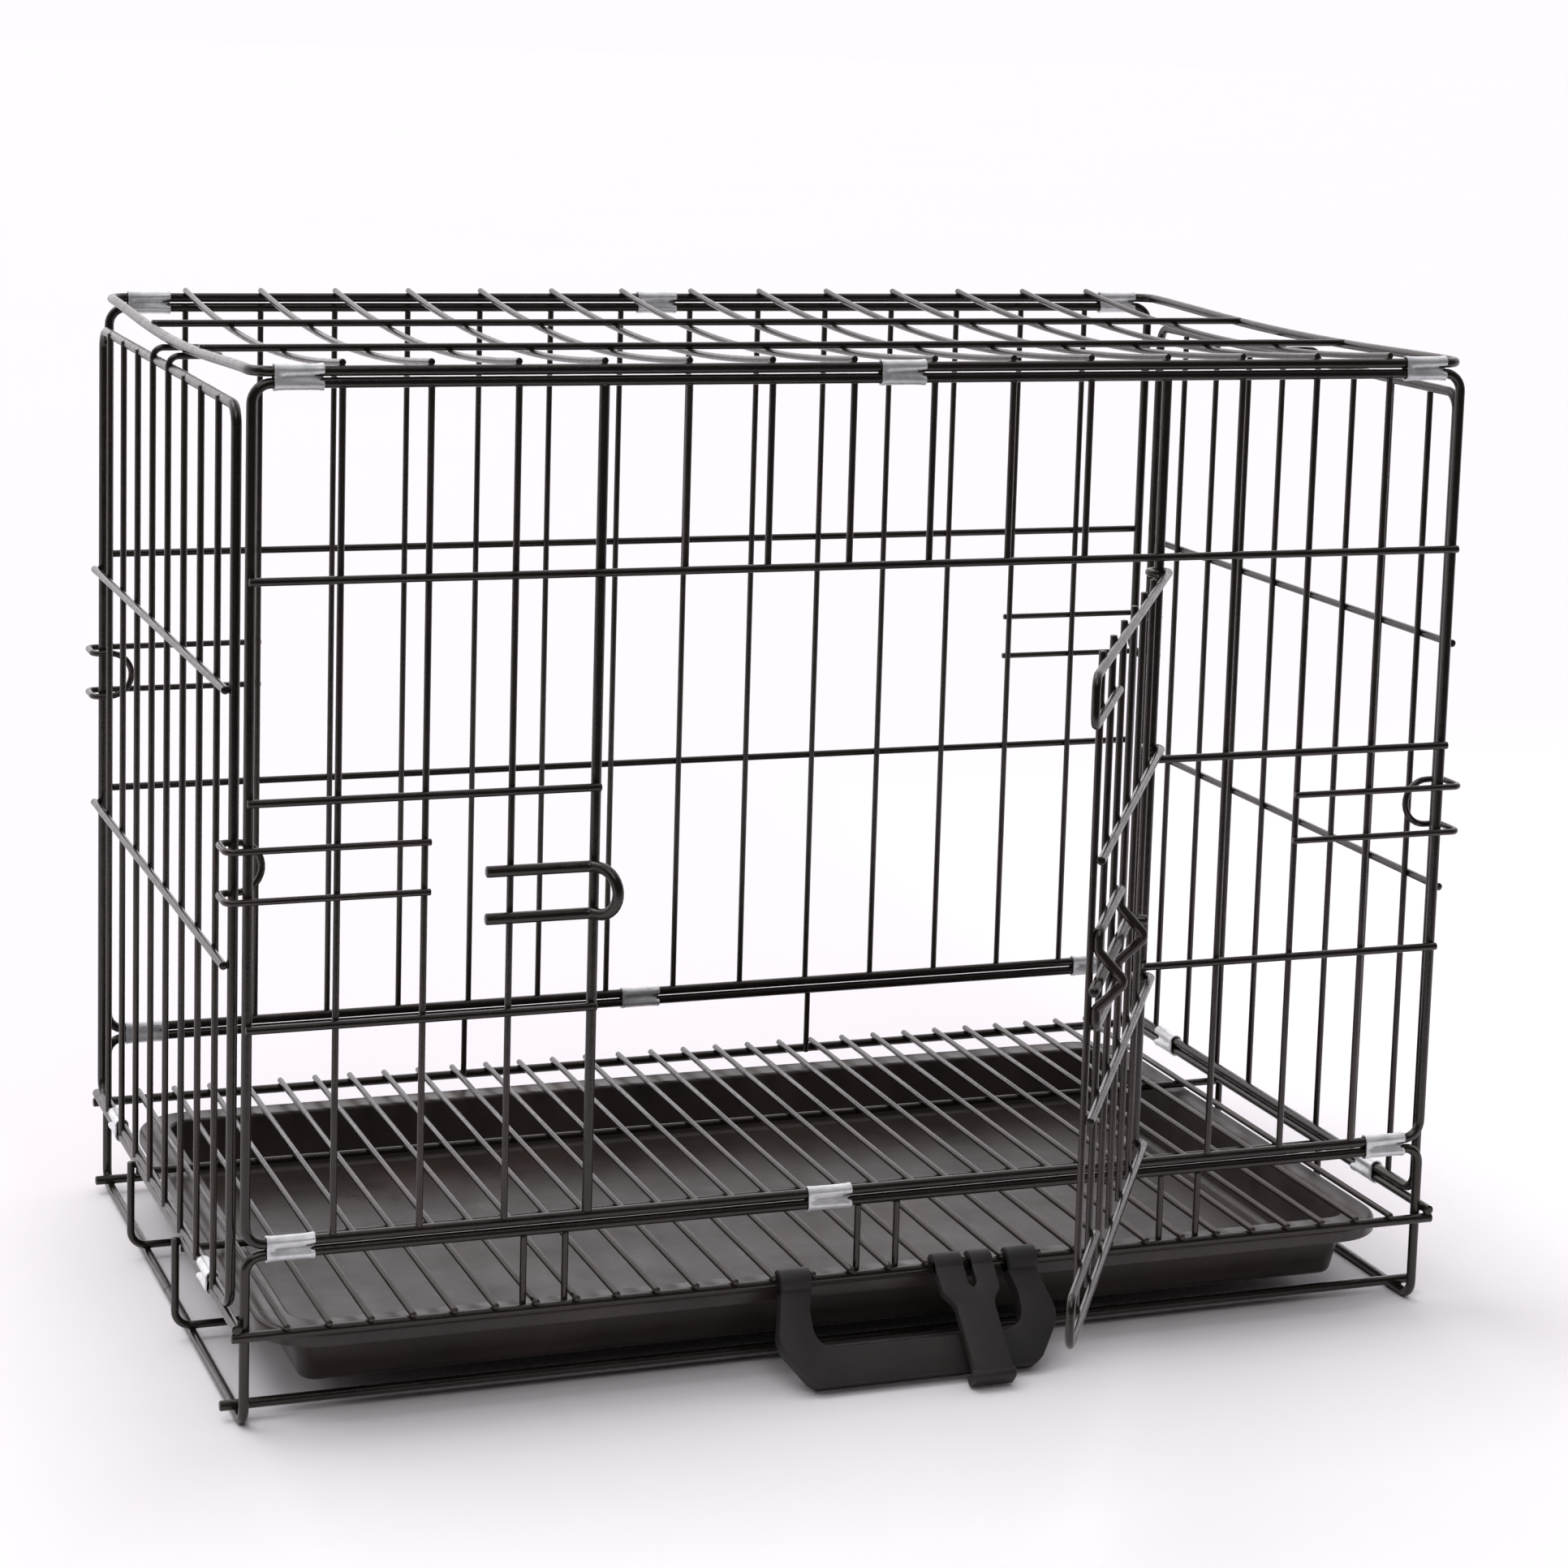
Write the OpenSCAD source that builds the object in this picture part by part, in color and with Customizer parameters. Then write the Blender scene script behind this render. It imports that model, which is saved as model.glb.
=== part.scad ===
// Folding wire dog crate with a single front door, a slide-out tray, a carry handle and a fold lock.
// Millimetres, +Z up, X along the front, -Y towards the door side.
// The origin is the centre of the footprint, on the ground.

/* [Cage] */
// length between the centres of the front corner wires
crate_len = 600; // [585:15:615]
// width between the front and back panels' planes
crate_w = 360; // [351:9:369]
// height of the front and back panels' top wires
cage_top_z = 476; // [470:2:482]
// height of the base's upper wires
base_top_z = 81.2; // [80:0.4:84]
// height of the wire floor's supporting rails
floor_rail_z = 45; // [44.6:0.2:45.4]
// sag of the roof's cross wires
roof_dish = 10; // [8:0.5:11]

/* [Wire] */
// thickness of the frame wires
frame_d = 4.8; // [4.6:0.1:5]
// thickness of the long rails that brace the panels
rail_d = 3.8; // [3.6:0.1:4]
// thickness of the thin bars
bar_d = 3.2; // [3:0.1:3.4]
// thickness of the middle floor rails
floor_rail_d = 4; // [3.8:0.1:4.2]
// thickness of the bolt's keeper
keeper_d = 5.4; // [5.2:0.1:5.6]
// bend radius at the corners of the frames
frame_bend = 9; // [8:0.5:10]
// how far crossing wires are sunk into each other by the weld
weld = 0.3; // [0.2:0.05:0.4]

/* [Door] */
// angle at which the door stands open, from closed
door_angle = 58.5; // [0:0.5:165]
// clearance between the hinge post and the rings round it
ring_clear = 0.5; // [0.4:0.05:0.6]
// distance between the legs of a stop loop
stop_loop_h = 21; // [19:0.5:22]
// reach of the stop loops past the latch-side post
stop_reach = 5; // [4:0.5:6]

/* [Latch] */
// thickness of the slide bolt
bolt_d = 4.8; // [4.6:0.1:5]
// height of the slide bolt
bolt_z = 242.5; // [240:0.5:245]
// distance from the hinge to the drawn-back bolt's tip
bolt_reach = 261; // [259:0.5:261.5]
// length of the bolt from its tip to its bent tail
bolt_len = 130; // [128:0.5:131]
// how far the guide's bows stand off the door
guide_bow = 9.5; // [9:0.25:10]
// distance between the top and bottom of the bolt guide
guide_h = 42; // [40:0.5:44]
// distance between the keeper's legs
keeper_gap = 22; // [21:0.5:23]

/* [Corner hooks] */
// distance between the legs of a corner hook
hook_gap = 23; // [21:0.5:24]
// height of the front corner hooks' lower legs
front_hook_z = 245.5; // [243:0.5:248]
// height of the back corner hooks' lower legs
back_hook_z = 272; // [270:0.5:276]
// inward reach of the end panels' top hooks
top_hook_reach = 25; // [22:0.5:26]

/* [Clips] */
// length of a hinge clip along the rail
clip_len = 22; // [20:0.5:22.5]
// wall thickness of a hinge clip
clip_wall = 0.9; // [0.8:0.05:1]
// clearance of a clip round the wire that turns in it
clip_clear = 0.3; // [0.25:0.05:0.35]

/* [Tray] */
// room between each end of the tray and the crate's corner wires
tray_end_room = 10; // [8:0.5:14]
// room between each side of the tray and the front and back panels' planes
tray_side_room = 7; // [5:0.5:10]
// height of the tray
tray_h = 32.4; // [31:0.2:32.4]
// wall thickness of the tray
tray_wall = 1.8; // [1.6:0.1:2]
// radius of the tray's corners at the rim
tray_corner = 30; // [29:0.5:34]
// width of the tray's flange
tray_flange = 15; // [13:0.5:16]
// height of the flange's turned-down lip
tray_lip = 8; // [6:0.5:9]

/* [Handle and fold lock] */
// tilt of the carry handle from hanging straight down
handle_tilt = 37; // [37:0.5:40]
// length of the handle from the rail to its lower edge
handle_len = 52.5; // [50:0.5:52.5]
// thickness of the handle
handle_t = 8; // [7:0.25:8]
// height of the handle's grip bar
grip_h = 18; // [16:0.5:19]
// tilt of the fold lock from hanging straight down
lock_tilt = 47; // [46:0.5:49]
// thickness of the fold lock's strap
lock_t = 5; // [4.5:0.25:5]
// length of the fold lock from the rail to its lower end
lock_len = 63; // [61:0.5:63]

/* [Hidden] */

wire_fn = 16;
bend_fn = 24;
clip_fn = 20;
// a kink's ball is a touch thicker than its wire, so their skins cross cleanly
ball_k = 1.03;
sag_fn = 180;

// counts that fix the pitch of the bars
bay_count_long = 15;
bay_count_wide = 9;
floor_bar_count = 30;
pitch_x = crate_len / bay_count_long;
pitch_y = crate_w / bay_count_wide;
half_len = crate_len / 2;
half_w = crate_w / 2;

// paired frame wires lie one above the other inside a clip
pair_gap = 0.4;
pair_step = frame_d + pair_gap;
panel_low_z = base_top_z + pair_step;
roof_z = cage_top_z + pair_step;

// sideways distance between the centres of two welded wires
function on(d1, d2) = (d1 + d2) / 2 - weld;

// front and back panels
bar_off = (frame_d - bar_d) / 2;
brace_off = frame_d / 2 + rail_d / 2 - weld;
front_brace_high = 389;
front_brace_mid = 290;
front_brace_low = 187;
front_brace_z = [front_brace_high, front_brace_mid, front_brace_low];
back_brace_high = 345;
back_brace_low = 218.7;
back_brace_z = [back_brace_high, back_brace_low];
latch_bay_index = 4;
hinge_bay_index = 11;
latch_post_x = -half_len + latch_bay_index * pitch_x;
hinge_post_x = -half_len + hinge_bay_index * pitch_x;
brace_end = 1.5;
rail_overhang = 2.5;

// base
ground_z = frame_d / 2;
cross_z = ground_z + on(frame_d, frame_d);
leg_bend = 8;
ground_rail_y = half_w - 13;
floor_rail_y = half_w + on(frame_d, frame_d);
mid_rail_y = 1.5 * pitch_y;
mid_rail_z = floor_rail_z + (frame_d - floor_rail_d) / 2;
floor_bar_z = floor_rail_z + on(frame_d, bar_d);
side_rail_x = half_len + on(frame_d, frame_d);
side_rail_z = floor_rail_z + on(frame_d, frame_d);
runner_x = side_rail_x + on(frame_d, rail_d);
runner_z = ground_z + on(frame_d, rail_d);
runner_bend = 8;
// the floor bars stop short of the corner legs
floor_bar_reach = half_len - 18;
floor_pitch = 2 * floor_bar_reach / (floor_bar_count - 1);
skirt_half = 10;
skirt_y = floor_rail_y - on(frame_d, bar_d);
skirt_x = [-8 * floor_pitch - 4.8, 5, 8.5 * floor_pitch];
back_skirt_x = 5.5 * floor_pitch - 5;

// end panels
end_x = side_rail_x;
end_low_z = side_rail_z + pair_step;
end_top_z = cage_top_z - 11;
end_half_w = half_w - 10;
end_bar_x = end_x + on(frame_d, bar_d);
end_brace_x = end_x + (frame_d - rail_d) / 2;
end_brace_high = 339;
end_brace_low = 214;
end_brace_z = [end_brace_high, end_brace_low];

// roof
roof_cross_z = roof_z + on(frame_d, bar_d);
sag_r = (half_w * half_w + roof_dish * roof_dish) / (2 * roof_dish);
sag_low_z = roof_cross_z - roof_dish;
long_wire_d = 3.6;
roof_long_z = sag_low_z + sag_r - sqrt(sag_r * sag_r - mid_rail_y * mid_rail_y) + on(long_wire_d, bar_d);
top_hook_z = sag_low_z - bar_d - 0.4;

// door, drawn closed and turned about the hinge post
ring_r = frame_d / 2 + ring_clear + rail_d / 2;
door_bar_off = ring_r - on(rail_d, bar_d);
door_top_z = front_brace_z[0] - 8;
door_low_z = panel_low_z + 9.6;
door_mid_z = [front_brace_z[1] + 4.4, front_brace_z[2] - 6.4];
door_bar_lip = 1;
door_first_x = (hinge_bay_index - 1) * pitch_x - half_len - hinge_post_x;
door_last_x = (latch_bay_index + 1) * pitch_x - half_len - hinge_post_x;
stop_x = latch_post_x - frame_d / 2 - stop_reach + rail_d / 2 - hinge_post_x;
stop_bend = 6;
guide_off = door_bar_off + on(bar_d, bar_d);
bolt_off = door_bar_off + bar_d / 2 + 0.4 + bolt_d / 2;

// keeper and corner hooks
keeper_off = frame_d / 2 + keeper_d / 2 - weld;
keeper_out = bolt_off + bolt_d / 2 + 1.9 + keeper_d / 2;
keeper_start_x = latch_post_x - 1.3 * pitch_x;
keeper_end_x = latch_post_x + 0.375 * pitch_x;
hook_off = frame_d / 2 + bar_d / 2 - weld;
hook_x = end_bar_x + bar_d / 2 + 0.7;
hook_back = 19;
hook_return = 20;

// clips
clip_r = frame_d / 2 + clip_clear + clip_wall;
clip_grip = 0.05;
end_clip_x = half_len - frame_bend - clip_len / 2 - 0.5;
front_clip_x = [-end_clip_x, 0.1 * pitch_x, end_clip_x];
base_clip_x = [-end_clip_x, -0.5 * pitch_x, end_clip_x];
back_clip_x = [-end_clip_x, 0, end_clip_x];
side_clip_y = 3 * pitch_y;

// tray
tray_len = crate_len - 2 * tray_end_room;
tray_w = crate_w - 2 * tray_side_room;
tray_z = cross_z + frame_d / 2 + 0.3;
tray_front_y = -floor_rail_y + 6;
tray_slope = tray_flange + 7;
tray_foot = 2.5;
lip_round = 3;

// handle and lock
// a knuckle is thick at the front and thin towards the tray
knuckle_clear = 0.3;
knuckle_r = 6.5;
knuckle_off = [-1.4, -0.25];
// the knuckles sit in gaps between floor bars, and the lock's slot straddles a bar
knuckle_half = 7.6;
arm_bow = 13;
arm_step = 6;
arm_in = 5;
grip_round = 3;
handle_mid_x = floor_pitch;
handle_half = 3 * floor_pitch;
lock_x0 = 32;
lock_slot_x = 2.5 * floor_pitch;
lock_slot_half = 2.1;
lock_x1 = 62;
lock_mid_x = (lock_x0 + lock_x1) / 2;
lock_half = (lock_x1 - lock_x0) / 2;
// the fingers narrow to the strap, and the slot runs up between them
finger_len = 17;
taper_len = 6;
slot_len = finger_len - 1;
strap_half = 10;
strap_back = -2;
curl_half = 11;
curl_len = 5.5;
curl_back = 3;
curl_chamfer = 2;

function unit(v) = v / norm(v);
function square(u, v) = abs(u * v) < 0.0001 && len([for (c = concat(u, v)) if (abs(c) > 0.9999) 1]) == 2;
function cut(u, v, r) = square(u, v) ? r : 0;

// a straight round wire between two points
module rod(a, b, d) {
  v = b - a;
  translate(a)
    rotate([0, acos(v[2] / norm(v)), atan2(v[1], v[0])])
      cylinder(h = norm(v), d = d, $fn = wire_fn);
}

// the bend at point p between unit directions u and v: round if square, otherwise a kink
module bend(p, u, v, d, r) {
  if (square(u, v)) {
    w = cross(u, v);
    c = p + r * (v - u);
    multmatrix([
      [u[0], v[0], w[0], c[0]],
      [u[1], v[1], w[1], c[1]],
      [u[2], v[2], w[2], c[2]],
      [0, 0, 0, 1]
    ])
      rotate_extrude(angle = 90, start = -90, $fn = bend_fn)
        translate([r, 0]) circle(d = d, $fn = wire_fn);
  } else {
    translate(p) sphere(d = d * ball_k, $fn = wire_fn);
  }
}

// a wire bent along a list of points
module wire(pts, d, r) {
  last = len(pts) - 1;
  dir = [for (i = [1:last]) unit(pts[i] - pts[i - 1])];
  for (i = [1:last]) {
    a = i == 1 ? pts[0] : pts[i - 1] + cut(dir[i - 2], dir[i - 1], r) * dir[i - 1];
    b = i == last ? pts[last] : pts[i] - cut(dir[i - 1], dir[i], r) * dir[i - 1];
    if (norm(b - a) > 0.001) rod(a, b, d);
  }
  for (i = [1:last - 1]) bend(pts[i], dir[i - 1], dir[i], d, r);
}

// rows of straight bars
module bars_z(xs, y, z0, z1, d) for (x = xs) rod([x, y, z0], [x, y, z1], d);
module bars_y(xs, z, reach, d) for (x = xs) rod([x, -reach, z], [x, reach, z], d);
function bay_x(from, to) = [for (i = [from:to]) -half_len + i * pitch_x];

// ------------------------------------------------------------------ base

// one bent wire: upper rail, two legs and half of each ground wire, drawn for the front
module base_frame() {
  wire([
    [-half_len, 0, ground_z],
    [-half_len, -half_w, ground_z],
    [-half_len, -half_w, base_top_z],
    [half_len, -half_w, base_top_z],
    [half_len, -half_w, ground_z],
    [half_len, 0, ground_z]
  ], frame_d, leg_bend);
}
module base_front_frame() color("#2b2827") base_frame();
module base_back_frame() color("#2b2827") mirror([0, 1, 0]) base_frame();

module ground_rails() color("#2b2827")
  for (y = [-ground_rail_y, ground_rail_y]) rod([-runner_x, y, cross_z], [runner_x, y, cross_z], frame_d);

// a hanger under the tray, welded outside both side rails
module runner(y) {
  top = side_rail_z + brace_end;
  wire([
    [-runner_x, y, top],
    [-runner_x, y, runner_z],
    [runner_x, y, runner_z],
    [runner_x, y, top]
  ], rail_d, runner_bend);
}
module runner_front() color("#2b2827") runner(-mid_rail_y);
module runner_back() color("#2b2827") runner(mid_rail_y);

module side_rail(x) {
  reach = floor_rail_y + frame_d / 2;
  rod([x, -reach, side_rail_z], [x, reach, side_rail_z], frame_d);
}
module side_rail_left() color("#2b2827") side_rail(-side_rail_x);
module side_rail_right() color("#2b2827") side_rail(side_rail_x);

module floor_rails() color("#2b2827") {
  outer = side_rail_x + rail_overhang;
  mid = side_rail_x + brace_end;
  for (s = [-1, 1]) {
    rod([-outer, s * floor_rail_y, floor_rail_z], [outer, s * floor_rail_y, floor_rail_z], frame_d);
    rod([-mid, s * mid_rail_y, mid_rail_z], [mid, s * mid_rail_y, mid_rail_z], floor_rail_d);
  }
}

module floor_bars() color("#35312f") {
  xs = [for (i = [0:floor_bar_count - 1]) -floor_bar_reach + i * floor_pitch];
  bars_y(xs, floor_bar_z, floor_rail_y + frame_d / 2 + door_bar_lip, bar_d);
}

// short uprights from the floor rails to the base's upper wires
module skirt_wires() color("#35312f") {
  low = floor_rail_z - brace_end;
  high = base_top_z - frame_d / 2 + weld;
  for (x = skirt_x) bars_z([x - skirt_half, x + skirt_half], -skirt_y, low, high, bar_d);
  bars_z([-back_skirt_x, back_skirt_x], skirt_y, low, high, bar_d);
}

// ------------------------------------------------------------------ front and back panels

// a closed upright frame in the plane y
module panel_frame(y) {
  wire([
    [0, y, panel_low_z],
    [half_len, y, panel_low_z],
    [half_len, y, cage_top_z],
    [-half_len, y, cage_top_z],
    [-half_len, y, panel_low_z],
    [0, y, panel_low_z]
  ], frame_d, frame_bend);
}
panel_bar_low = panel_low_z + frame_d / 2 - weld;
panel_bar_high = cage_top_z - frame_d / 2 + weld;

module front_frame() color("#2b2827") panel_frame(-half_w);
module brace(x0, x1, s, z) rod([x0, s * (half_w + brace_off), z], [x1, s * (half_w + brace_off), z], rail_d);
module front_rail_upper() color("#2b2827")
  brace(-half_len - brace_end, half_len + brace_end, -1, front_brace_z[0]);
module front_rails_left() color("#2b2827")
  for (i = [1, 2]) brace(-half_len - brace_end, latch_post_x + brace_end, -1, front_brace_z[i]);
module front_rails_right() color("#2b2827")
  for (i = [1, 2]) brace(hinge_post_x - brace_end, half_len + brace_end, -1, front_brace_z[i]);
module front_bars(from, to, low) bars_z(bay_x(from, to), -half_w - bar_off, low, panel_bar_high, bar_d);
module front_bars_left() color("#35312f") front_bars(1, latch_bay_index - 1, panel_bar_low);
module front_bars_right() color("#35312f") front_bars(hinge_bay_index + 1, bay_count_long - 1, panel_bar_low);
module front_bars_over_door() color("#35312f")
  front_bars(latch_bay_index + 1, hinge_bay_index - 1, front_brace_z[0] - rail_d / 2);
module latch_post() color("#2b2827") bars_z([latch_post_x], -half_w, panel_bar_low, panel_bar_high, frame_d);
module hinge_post() color("#2b2827") bars_z([hinge_post_x], -half_w, panel_bar_low, panel_bar_high, frame_d);

// thick staple on the latch post, its closed end bowed out round the bolt
module bolt_keeper() color("#2b2827") {
  y0 = -half_w - keeper_off;
  y1 = -half_w - keeper_out;
  low = bolt_z - keeper_gap / 2;
  high = bolt_z + keeper_gap / 2;
  bow = (keeper_out - keeper_off) / 2;
  bow_x = keeper_end_x - 2 * bow;
  wire([
    [keeper_start_x, y0, low],
    [bow_x, y0, low],
    [bow_x, y1, low],
    [keeper_end_x, y1, low],
    [keeper_end_x, y1, high],
    [bow_x, y1, high],
    [bow_x, y0, high],
    [keeper_start_x, y0, high]
  ], keeper_d, bow);
}

// a closed wire loop round the corner that holds the end panel's post
module corner_hook(sx, sy, z0) {
  y_out = sy * (half_w + hook_off);
  y_in = sy * (half_w + hook_off - hook_back);
  x_start = sx * (half_len - 2 * pitch_x - 2);
  x_end = sx * (hook_x - hook_return);
  z1 = z0 + hook_gap;
  wire([
    [x_start, y_out, z0],
    [sx * hook_x, y_out, z0],
    [sx * hook_x, y_in, z0],
    [x_end, y_in, z0],
    [x_end, y_in, z1],
    [sx * hook_x, y_in, z1],
    [sx * hook_x, y_out, z1],
    [x_start, y_out, z1]
  ], bar_d, 4);
}
module front_hook_left() color("#35312f") corner_hook(-1, -1, front_hook_z);
module front_hook_right() color("#35312f") corner_hook(1, -1, front_hook_z);
module back_hook_left() color("#35312f") corner_hook(-1, 1, back_hook_z);
module back_hook_right() color("#35312f") corner_hook(1, 1, back_hook_z);

module back_frame() color("#2b2827") panel_frame(half_w);
module back_rails() color("#2b2827")
  for (z = back_brace_z) brace(-half_len - brace_end, half_len + brace_end, 1, z);
module back_bars() color("#35312f")
  bars_z(bay_x(1, bay_count_long - 1), half_w + bar_off, panel_bar_low, panel_bar_high, bar_d);

// ------------------------------------------------------------------ roof

module roof_frame() color("#2b2827")
  wire([
    [0, -half_w, roof_z],
    [half_len, -half_w, roof_z],
    [half_len, half_w, roof_z],
    [-half_len, half_w, roof_z],
    [-half_len, -half_w, roof_z],
    [0, -half_w, roof_z]
  ], frame_d, frame_bend);

// lie on the front and back wires and sag in between
module roof_cross_wires() color("#35312f") {
  half_turn = asin(half_w / sag_r);
  for (x = bay_x(1, bay_count_long - 1))
    translate([x, 0, sag_low_z + sag_r]) rotate([90, 0, 90])
      rotate_extrude(angle = 2 * half_turn, start = 270 - half_turn, $fn = sag_fn)
        translate([sag_r, 0]) circle(d = bar_d, $fn = wire_fn);
}

// cross over the sagging wires and butt into the frame's ends
module roof_long_wires() color("#35312f") {
  reach = half_len - weld;
  for (y = [-mid_rail_y, mid_rail_y]) rod([-reach, y, roof_long_z], [reach, y, roof_long_z], long_wire_d);
}

// ------------------------------------------------------------------ hinge clips

// a bent sheet sleeve along X that grips the wire at its centre and lets the one above turn
module clip() {
  waist = frame_d * 0.8;
  rotate([90, 0, 90])
    difference() {
      union() {
        translate([0, 0, -clip_len / 2]) cylinder(h = clip_len, r = clip_r, $fn = clip_fn);
        translate([0, pair_step, -clip_len / 2]) cylinder(h = clip_len, r = clip_r, $fn = clip_fn);
        translate([-clip_r * 0.9, 0, -clip_len / 2]) cube([clip_r * 1.8, pair_step, clip_len]);
      }
      translate([0, 0, -clip_len / 2 - 1])
        cylinder(h = clip_len + 2, r = frame_d / 2 - clip_grip, $fn = clip_fn);
      translate([0, pair_step, -clip_len / 2 - 1])
        cylinder(h = clip_len + 2, r = frame_d / 2 + clip_clear, $fn = clip_fn);
      translate([-waist / 2, 0, -clip_len / 2 - 1]) cube([waist, pair_step, clip_len + 2]);
    }
}
module clips_x(xs, y, z) for (x = xs) translate([x, y, z]) clip();
module roof_clips_front() color("#b9bcbf") clips_x(front_clip_x, -half_w, cage_top_z);
module roof_clips_back() color("#b9bcbf") clips_x(back_clip_x, half_w, cage_top_z);
module base_clips_front() color("#b9bcbf") clips_x(base_clip_x, -half_w, base_top_z);
module base_clips_back() color("#b9bcbf") clips_x(back_clip_x, half_w, base_top_z);
module clips_y(x) for (s = [-1, 1]) translate([x, s * side_clip_y, side_rail_z]) rotate([0, 0, 90]) clip();
module side_clips_left() color("#b9bcbf") clips_y(-side_rail_x);
module side_clips_right() color("#b9bcbf") clips_y(side_rail_x);

// ------------------------------------------------------------------ end panels

module end_frame(s) {
  wire([
    [s * end_x, 0, end_low_z],
    [s * end_x, end_half_w, end_low_z],
    [s * end_x, end_half_w, end_top_z],
    [s * end_x, -end_half_w, end_top_z],
    [s * end_x, -end_half_w, end_low_z],
    [s * end_x, 0, end_low_z]
  ], frame_d, frame_bend);
}
module end_braces(s) {
  reach = end_half_w - frame_d / 2 + weld;
  for (z = end_brace_z) rod([s * end_brace_x, -reach, z], [s * end_brace_x, reach, z], rail_d);
}
module end_bars(s) {
  ys = [-3.5, -2.5, -1.5, 1.5, 2.5, 3.5] * pitch_y;
  low = end_low_z - brace_end;
  for (y = ys) rod([s * end_bar_x, y, low], [s * end_bar_x, y, end_top_z + brace_end], bar_d);
}

// the two middle bars are one wire, folded in over the top rail into a hook
module end_hook(s) {
  y = pitch_y / 2;
  x_in = s * (end_bar_x - top_hook_reach);
  wire([
    [s * end_bar_x, -y, end_low_z - brace_end],
    [s * end_bar_x, -y, top_hook_z],
    [x_in, -y, top_hook_z],
    [x_in, y, top_hook_z],
    [s * end_bar_x, y, top_hook_z],
    [s * end_bar_x, y, end_low_z - brace_end]
  ], bar_d, 5);
}
module end_left_frame() color("#2b2827") end_frame(-1);
module end_left_rails() color("#2b2827") end_braces(-1);
module end_left_bars() color("#35312f") end_bars(-1);
module end_left_hook() color("#35312f") end_hook(-1);
module end_right_frame() color("#2b2827") end_frame(1);
module end_right_rails() color("#2b2827") end_braces(1);
module end_right_bars() color("#35312f") end_bars(1);
module end_right_hook() color("#35312f") end_hook(1);

// ------------------------------------------------------------------ door

module at_door() translate([hinge_post_x, -half_w, 0]) rotate([0, 0, door_angle]) children();

// the ring that a door rail ends in, round the hinge post
module hinge_ring(z) translate([0, 0, z])
  rotate_extrude(angle = 270, start = -90, $fn = bend_fn)
    translate([ring_r, 0]) circle(d = rail_d, $fn = wire_fn);

// a rail from its ring, turned back past the latch side as a stop loop
module stop_rail(z, back_z) {
  hinge_ring(z);
  wire([
    [0, -ring_r, z],
    [stop_x, -ring_r, z],
    [stop_x, -ring_r, back_z],
    [door_last_x + pitch_x + brace_end, -ring_r, back_z]
  ], rail_d, stop_bend);
}
module door_rail_top() color("#2b2827") at_door() stop_rail(door_top_z, door_top_z - stop_loop_h);
module door_rail_bottom() color("#2b2827") at_door() stop_rail(door_low_z, door_low_z + stop_loop_h);
module door_rails_middle() color("#2b2827") at_door()
  for (z = door_mid_z) {
    hinge_ring(z);
    rod([0, -ring_r, z], [door_last_x - brace_end, -ring_r, z], rail_d);
  }
module door_bars() color("#35312f") at_door()
  bars_z(
    [for (x = [door_first_x:-pitch_x:door_last_x]) x],
    -door_bar_off,
    door_low_z - rail_d / 2 - door_bar_lip,
    door_top_z + rail_d / 2 + door_bar_lip,
    bar_d
  );

// a closed loop on the door's bars, its two uprights bowed out round the bolt
module latch_guide() color("#35312f") at_door() {
  x0 = door_last_x;
  x1 = door_last_x + 2 * pitch_x;
  z0 = bolt_z - guide_h / 2;
  z1 = bolt_z + guide_h / 2;
  y0 = -guide_off;
  y1 = -guide_off - guide_bow;
  bow = 15;
  wire([
    [(x0 + x1) / 2, y0, z0],
    [x1, y0, z0],
    [x1, y0, bolt_z - bow],
    [x1, y1, bolt_z],
    [x1, y0, bolt_z + bow],
    [x1, y0, z1],
    [x0, y0, z1],
    [x0, y0, bolt_z + bow],
    [x0, y1, bolt_z],
    [x0, y0, bolt_z - bow],
    [x0, y0, z0],
    [(x0 + x1) / 2, y0, z0]
  ], bar_d, 2.5);
}

// straight rod with a tapered tip and a tail bent out as its finger pull
module slide_bolt() color("#2b2827") at_door() {
  tip = 3;
  tail_x = -bolt_reach + bolt_len;
  wire([
    [-bolt_reach + tip, -bolt_off, bolt_z],
    [tail_x, -bolt_off, bolt_z],
    [tail_x, -bolt_off - 18, bolt_z]
  ], bolt_d, 6);
  translate([-bolt_reach, -bolt_off, bolt_z]) rotate([0, 90, 0])
    cylinder(h = tip, d1 = bolt_d / 2, d2 = bolt_d, $fn = wire_fn);
}

// ------------------------------------------------------------------ tray

// wall, flange and lip in section, measured outwards from a corner's centre, with the floor below it
function tray_profile(start) = let(
  heel = tray_corner - tray_slope,
  foot_h = 0.6 * tray_foot,
  top = tray_corner - tray_flange,
  low = tray_h - tray_lip,
  skin = tray_corner - tray_wall
) [
  [start, 0],
  [heel, 0],
  [heel + tray_foot, foot_h],
  [top, tray_h - tray_wall],
  [skin - tray_wall / 2, tray_h - tray_wall],
  [skin, tray_h - 1.5 * tray_wall],
  [skin, low],
  [tray_corner, low],
  [tray_corner, tray_h - lip_round],
  [tray_corner - lip_round / 3, tray_h - lip_round / 3],
  [tray_corner - lip_round, tray_h],
  [top - tray_wall, tray_h],
  [heel + tray_foot - tray_wall, foot_h + tray_wall],
  [heel - tray_wall, tray_wall],
  [start, tray_wall]
];

module tray_side(length) rotate([90, 0, 0]) translate([0, 0, -length / 2])
  linear_extrude(length) polygon(tray_profile(0));

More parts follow.
